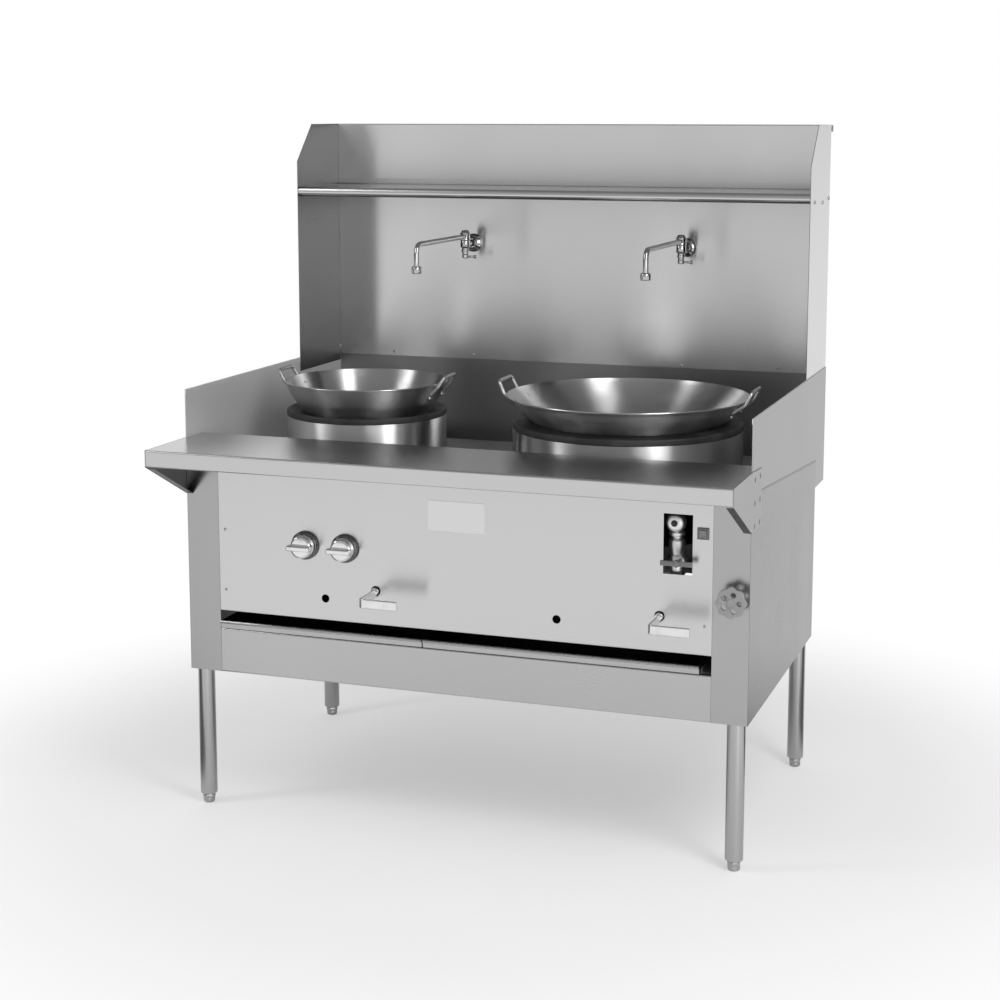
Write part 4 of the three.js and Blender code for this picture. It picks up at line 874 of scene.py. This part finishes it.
def faucet(side):
    spout_low, spout_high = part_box("faucet_spout_" + side)
    x = (spout_low[0] + spout_high[0]) * 500
    swing = Vector((x, 838.4 - FRONT_TO_ORIGIN, 0)) / 1000
    guard = Vector((x, 904.4 - FRONT_TO_ORIGIN, 1327)) / 1000
    forward = (0, -1, 0)
    flange = [(0, 0.3), (24, 0.3), (25, 1.2), (24.6, 3.6), (22, 6.5), (18, 8.6), (14, 10.6), (12, 13), (0, 13)]
    parts = [
        turned("flange", flange, guard, forward, 48),
        turned("shank", [(0, -22), (10, -22), (10, 60), (0, 60)], guard, forward, 40),
        turned("upright", [
            (0, 1300), (7.8, 1300), (8.5, 1301), (8.5, 1306), (10.6, 1307), (10.6, 1311), (9, 1312), (9, 1316),
            (12, 1318), (13, 1320), (13, 1335.4), (12, 1337.7), (8, 1337.7), (8, 1358.3), (10.6, 1358.3),
            (11, 1359.4), (10.4, 1362), (8, 1364.4), (4, 1365), (0, 1365),
        ], swing, steps=48),
    ]
    body = joined("faucet_column_" + side, *parts)
    clear_selection()
    bpy.ops.mesh.primitive_cylinder_add(
        vertices=6, radius=0.0165, depth=0.0085, location=guard + Vector((0, 0.0075, 0)), rotation=FORWARD
    )
    nut = soften(settle(name_active("nut")), 0.6)
    body = joined("faucet_column_" + side, body, nut)
    dress(body, worn_chrome, "cabinet", "chrome", "faucet_body_" + side)

    collar = turned("collar", [
        (8.3, 1338), (13, 1338), (14, 1339), (14, 1342), (13.2, 1343.4), (13.2, 1352.6), (14, 1354), (14, 1357),
        (13, 1358), (8.3, 1358), (8.3, 1338),
    ], swing, steps=48)
    end = swing + Vector((0, -0.355, 0))
    tube = rod("tube", [
        swing + Vector((0, -0.0115, 1.348)), end + Vector((0, 0, 1.348)), end + Vector((0, 0, 1.292)),
    ], 7, 24, 6)
    nozzle = turned("nozzle", [
        (0, 1294), (9, 1294), (10, 1293.4), (11.4, 1292.4), (12.4, 1291), (13, 1289), (13, 1286.4), (12.5, 1286),
        (13, 1285.6), (13, 1279), (12.4, 1276.4), (11, 1275.2), (8.6, 1275), (8.2, 1279), (0, 1279),
    ], end, steps=48)
    spout = joined("faucet_pipe_" + side, collar, tube, nozzle)
    dress(spout, worn_chrome, "faucet_spout_" + side, "chrome", "faucet_spout_" + side)

    hub = turned("hub", [
        (0, 1288.7), (5, 1288.7), (7.4, 1289.4), (8.5, 1291), (8.5, 1298.6), (7.8, 1299.6), (3, 1299.6), (3, 1311.5),
        (0, 1311.5),
    ], swing, steps=32)
    arm_outline = [(0, 0), (3.2, 0), (2.6, 12), (2.9, 22), (4.4, 25), (5, 28), (4.2, 30.6), (2, 31.8), (0, 32)]
    arm = turned("arm", arm_outline, swing + Vector((0, 0, 1.2937)), (1, 0, 0), 24)
    lever = joined("faucet_tap_" + side, hub, arm)
    dress(lever, worn_chrome, "faucet_lever_" + side, "chrome", "faucet_lever_" + side)


for side in ("left", "right"):
    faucet(side)

# %% [markdown]
# ## Handwheel
# The shut-off's wheel is a small casting with eight finger lobes and five holes. Its outline starts as a
# circle whose vertices are moved in and out, then it is extruded, and the holes are cut by a boolean.

# %% Shape the handwheel
WHEEL = place(652, 0, 628)
clear_selection()
bpy.ops.mesh.primitive_cylinder_add(
    vertices=96, radius=0.034, depth=0.0098, location=WHEEL + Vector((0, -0.038, 0)), rotation=FORWARD
)
wheel = settle(name_active("wheel"))
for vertex in wheel.data.vertices:
    offset = Vector((vertex.co.x - WHEEL.x, vertex.co.z - WHEEL.z))
    angle = math.atan2(offset.y, offset.x)
    scale = (33 + 2 * math.cos(8 * angle)) / 34
    vertex.co.x = WHEEL.x + offset.x * scale
    vertex.co.z = WHEEL.z + offset.y * scale
for index in range(5):
    angle = math.tau * index / 5
    hole_at = WHEEL + Vector((0.0185 * math.cos(angle), -0.038, 0.0185 * math.sin(angle)))
    clear_selection()
    bpy.ops.mesh.primitive_cylinder_add(vertices=32, radius=0.0065, depth=0.04, location=hole_at, rotation=FORWARD)
    cutter = name_active("cutter")
    clear_selection()
    wheel.select_set(True)
    bpy.context.view_layer.objects.active = wheel
    cut = wheel.modifiers.new("hole", "BOOLEAN")
    cut.object = cutter
    bpy.ops.object.modifier_apply(modifier=cut.name)
    bpy.data.objects.remove(cutter)
soften(wheel, 1.4, 3)
hub = turned("wheel_hub", [
    (0, -28), (4.5, -28), (4.5, 24), (8.4, 24), (9, 25), (9, 45), (8, 46.4), (4.6, 46.6), (4.2, 47), (0, 47),
], WHEEL, (0, -1, 0), 40)
dress(joined("cast_wheel", wheel, hub), cast_grey, "handwheel", "grey_enamel", "handwheel")

# %% [markdown]
# ## Safety valve, its button and the cross handle
# Behind the window is the pilot safety: an upright barrel with a clamp collar and a domed head that faces
# forward with a button in its middle. A cross handle comes out through the window below it.

# %% Turn the safety valve
VALVE = place(513, 34, 0)
CROSS = place(527, 0, 703)
head_at = VALVE + Vector((0, 0, 0.785))
head = turned("head", [
    (0, 0), (19, 0), (21, 1.6), (22, 5), (22, 17), (21.4, 20), (19.4, 23.4), (16.4, 26), (12, 27.8), (7.6, 28),
    (6.8, 27.4), (6.8, 14), (0, 14),
], head_at, (0, -1, 0), 56)
barrel = turned("barrel", [
    (0, 674), (16, 674), (17, 675), (17, 708), (16, 709.6), (14.2, 711), (14, 713), (17, 725), (18, 728),
    (18, 742.6), (17, 744), (13.4, 748.6), (13, 750), (13, 751.6), (17, 753.4), (18, 755), (18, 760.4),
    (17, 761.4), (13, 763.6), (13, 784), (0, 784),
], VALVE, steps=56)
saddle = block("saddle", VALVE + Vector((-0.012, 0, 0.658)), VALVE + Vector((0.012, 0.036, 0.686)), 1.5, 3)
riser = turned("riser", [(0, 645.2), (9, 645.2), (9, 659), (0, 659)], place(513, 60, 0), steps=32)
boss_outline = [(4.3, -30), (10, -30), (10, -7), (9.2, -6), (4.3, -6), (4.3, -30)]
boss = turned("boss", boss_outline, CROSS, (0, -1, 0), 32)
safety = joined("safety_barrel", head, barrel, saddle, riser, boss)
dress(safety, cast_plate, "cabinet", "chrome", "safety_valve")
button = turned("safety_button", [
    (0, 18), (6.5, 18), (6.5, 31.6), (6, 33), (4.6, 33.8), (2.4, 33.4), (0, 33.2),
], head_at, (0, -1, 0), 32)
dress(button, black_plastic, "reset_button", "black_plastic", "reset_button")

# %% [markdown]
# The cross handle is a short bar on a round stem with a cap. The stem turns in the boss made above.

# %% Shape the cross handle
bar = block("bar", CROSS + Vector((-0.0365, -0.031, -0.006)), CROSS + Vector((0.0365, -0.025, 0.006)), 2.4, 4)
stem_outline = [(0, -24), (4, -24), (4, 17), (7.4, 18), (8, 19), (8, 31.6), (7.2, 32.6), (0, 33)]
stem = turned("stem", stem_outline, CROSS, (0, -1, 0), 32)
dress(joined("cross_handle", bar, stem), grey_enamel, "tee_handle", "grey_enamel", "tee_handle")

# %% [markdown]
# ## Igniter
# A square bezel with a square button in it. The bezel starts as a cube whose front face is inset and pushed
# back, which leaves the frame round the button.

# %% Inset the bezel
IGNITER = place(580, 0, 768.5)


def face_front(piece):
    """Selects the faces that look forward, in edit mode."""
    bpy.ops.object.mode_set(mode="OBJECT")
    for polygon in piece.data.polygons:
        polygon.select = polygon.normal.y < -0.9
    bpy.ops.object.mode_set(mode="EDIT")
    bpy.ops.mesh.select_mode(type="FACE")


clear_selection()
bpy.ops.mesh.primitive_cube_add(size=1, location=IGNITER + Vector((0, -0.00215, 0)), scale=(0.026, 0.0037, 0.026))
bezel = settle(name_active("bezel"))
bpy.ops.object.mode_set(mode="EDIT")
bpy.ops.mesh.select_all(action="DESELECT")
face_front(bezel)
bpy.ops.mesh.inset(thickness=0.0046)
bpy.ops.mesh.extrude_region_move(TRANSFORM_OT_translate={"value": (0, 0.0032, 0)})
bpy.ops.object.mode_set(mode="OBJECT")
soften(bezel, 0.6, 2)
dress(bezel, dark_plate_and_painted_shade, "cabinet", "brushed_stainless", "igniter_bezel")

clear_selection()
bpy.ops.mesh.primitive_cube_add(size=1, location=IGNITER + Vector((0, -0.0023, 0)), scale=(0.016, 0.0082, 0.016))
key = settle(name_active("igniter_key"))
bpy.ops.object.mode_set(mode="EDIT")
bpy.ops.mesh.select_all(action="DESELECT")
face_front(key)
bpy.ops.mesh.inset(thickness=0.0024)
bpy.ops.mesh.extrude_region_move(TRANSFORM_OT_translate={"value": (0, 0.0011, 0)})
bpy.ops.object.mode_set(mode="OBJECT")
soften(key, 0.5, 2)
dress(key, cast_grey, "igniter_button", "black_plastic", "igniter_button")

# %% [markdown]
# ## Blank plate and fasteners
# The control panel carries a thin plate, left bare. A thin block with a fine bevel is enough for it.

# %% Make the blank plate
plate = block("blank_plate", place(-67, -0.7, 729), place(73, -0.05, 800), 0.25, 1)
dress(plate, plate_steel, "cabinet", "brushed_stainless")

# %% [markdown]
# Small screws with domed heads hold the panel, the guard and the wings. Only the heads show, so each is a
# short turned dome, larger on the wings.

# %% Make the screws
def screw(name, at, axis, radius=3.6, height=1.7):
    dome = [
        (0, height), (radius * 0.5, height * 0.93), (radius * 0.82, height * 0.62), (radius, 0.15), (radius, 0),
        (0, 0),
    ]
    return turned(name, dome, at, axis, 20, 60)


screws = []
for number, (x, z) in enumerate([(-586, 694), (-586, 547), (586, 560)]):
    screws.append(screw("panel_screw", place(x, 0, z), (0, -1, 0)))
for x, z in [(-283, 1019), (303, 1014), (-520, 1019), (560, 1019)]:
    screws.append(screw("guard_screw", place(x, 904.4, z), (0, -1, 0)))
for hand in (-1, 1):
    for y, z in [(695, 1460), (806, 1455), (895, 1462)]:
        screws.append(screw("wing_screw", place(hand * 684, y, z), (hand, 0, 0), 5.0, 2.6))
print("screws", len(screws))
dress(joined("screw_heads", *screws), dull_plate, "cabinet", "brushed_stainless")

# %% [markdown]
# ## Studio
# A pale floor keeps the object's shadow, and soft light comes from above and in front. The camera sees a
# white background. Round steel would look flat in an evenly white room, so the world has two darker parts,
# like cards that stand beside the object, and a bright one like a tall window on the right. They show as the
# dark and bright lines along the legs and the chambers.

# %% Lay the floor
floor_material, floor_shader, floor_at = new_finish("floor_paper", 0.0, 0.9)
floor_tone = floor_at.noise(3, 2.0, 0.5)
connect(floor_shader, Base_Color=floor_tone.blend(0.88, 0.92))
clear_selection()
bpy.ops.mesh.primitive_plane_add(size=60, location=(0, 0, 0))
floor = name_active("floor")
floor.data.materials.append(floor_material)
print("floor", [round(side, 1) for side in floor.dimensions])

# %% [markdown]
# A horizon would show behind the object, so the floor glows white away from it, where no shadow falls. Metal
# sees the same glow, and the floor's share of the two cards.

# %% Let the floor fade to white away from the object
def flags(bearing):
    """1 towards either dark card, which stand to the front left and to the right, and 0 elsewhere."""
    shares = []
    for towards in ((-0.887, -0.462, 0), (0.934, 0.358, 0)):
        inputs = {0: bearing, 1: towards}
        shares.append(bearing.node("ShaderNodeVectorMath", {"operation": "DOT_PRODUCT"}, inputs, output=1))
    return shares[0].stepped(0.935, 0.98) + shares[1].stepped(0.945, 0.98)


tree = floor_material.node_tree
path = tree.nodes.new("ShaderNodeLightPath")
RAYS = ("Camera", "Glossy", "Transmission")
seen, glossy, through = (Link(tree, path.outputs[f"Is {kind} Ray"]) for kind in RAYS)
reach = floor_at.node("ShaderNodeVectorMath", {"operation": "LENGTH"}, {0: floor_at}, output=1)
bearing = floor_at.node("ShaderNodeVectorMath", {"operation": "NORMALIZE"}, {0: floor_at})
flag = flags(bearing) * reach.stepped(0.75, 0.95) * glossy
far = reach.stepped(0.95, 1.9)
paper = tree.nodes.new("ShaderNodeEmission")
paper.inputs["Strength"].default_value = 1.0
tree.links.new((flag * 0.85).blend(1.0, 0.0).socket, paper.inputs["Color"])
mixed = tree.nodes.new("ShaderNodeMixShader")
output = tree.nodes["Material Output"]
white = (seen + through) * (far * 0.6 + 0.4) + glossy * far
tree.links.new(white.math("MAXIMUM", flag).socket, mixed.inputs[0])
tree.links.new(floor_shader.outputs[0], mixed.inputs[1])
tree.links.new(paper.outputs[0], mixed.inputs[2])
tree.links.new(mixed.outputs[0], output.inputs["Surface"])
print("floor nodes", len(tree.nodes))

# %% [markdown]
# The world gives the broad soft light. Its brightness is a sum of soft-edged parts, each worked out from the
# direction that a ray takes, and the camera alone sees plain white. Two large lamps give the shadow and the
# highlights along the rims.

# %% Light the room
world = bpy.data.worlds.new("studio")
bpy.context.scene.world = world
world.use_nodes = True
tree = world.node_tree
tree.nodes.clear()
coordinates = tree.nodes.new("ShaderNodeTexCoord")
direction = Link(tree, coordinates.outputs["Generated"])
split = tree.nodes.new("ShaderNodeSeparateXYZ")
tree.links.new(direction.socket, split.inputs[0])
right, back, up = (Link(tree, split.outputs[index]) for index in range(3))
ray = tree.nodes.new("ShaderNodeLightPath")
seen = Link(tree, ray.outputs["Is Camera Ray"])
glossy = Link(tree, ray.outputs["Is Glossy Ray"])
ahead = back * 0.94 - right * 0.33
paper_wall = ahead.stepped(0.75, 0.95)
room = 1 - ahead.stepped(-0.6, -0.2)
ground = 1 - up.stepped(-0.07, 0.03)
window = (right * 0.59 - back * 0.81).stepped(0.95, 0.98) * (1 - up.stepped(0.2, 0.5))
soft = (paper_wall * 0.62 + room * 0.16 + ground * 0.62).math("MINIMUM", 0.62) + 0.33
soft = soft * (1 - flags(direction) * 0.85) + window * 3.0 - up.stepped(0.3, 0.7) * 0.11
level = seen + (1 - seen) * (soft + (1 - glossy) * 0.25)
background = tree.nodes.new("ShaderNodeBackground")
background.inputs["Color"].default_value = (1, 1, 1, 1)
tree.links.new(level.socket, background.inputs["Strength"])
output = tree.nodes.new("ShaderNodeOutputWorld")
tree.links.new(background.outputs[0], output.inputs["Surface"])


def softbox(name, at, towards, size, power):
    data = bpy.data.lights.new(name, "AREA")
    data.shape = "RECTANGLE"
    data.size, data.size_y = size
    data.energy = power
    lamp = bpy.data.objects.new(name, data)
    bpy.context.scene.collection.objects.link(lamp)
    lamp.location = at
    lamp.rotation_euler = (Vector(towards) - Vector(at)).to_track_quat("-Z", "Y").to_euler()
    return lamp


softbox("key", (2.1, -1.6, 3.2), (0, 0, 0.8), (1.0, 2.4), 52)
softbox("fill", (-2.6, -1.8, 3.0), (0, 0, 0.8), (0.6, 2.4), 26)

# %% [markdown]
# ## Finish

# %% Finish
bpy.context.scene.view_settings.view_transform = "Standard"
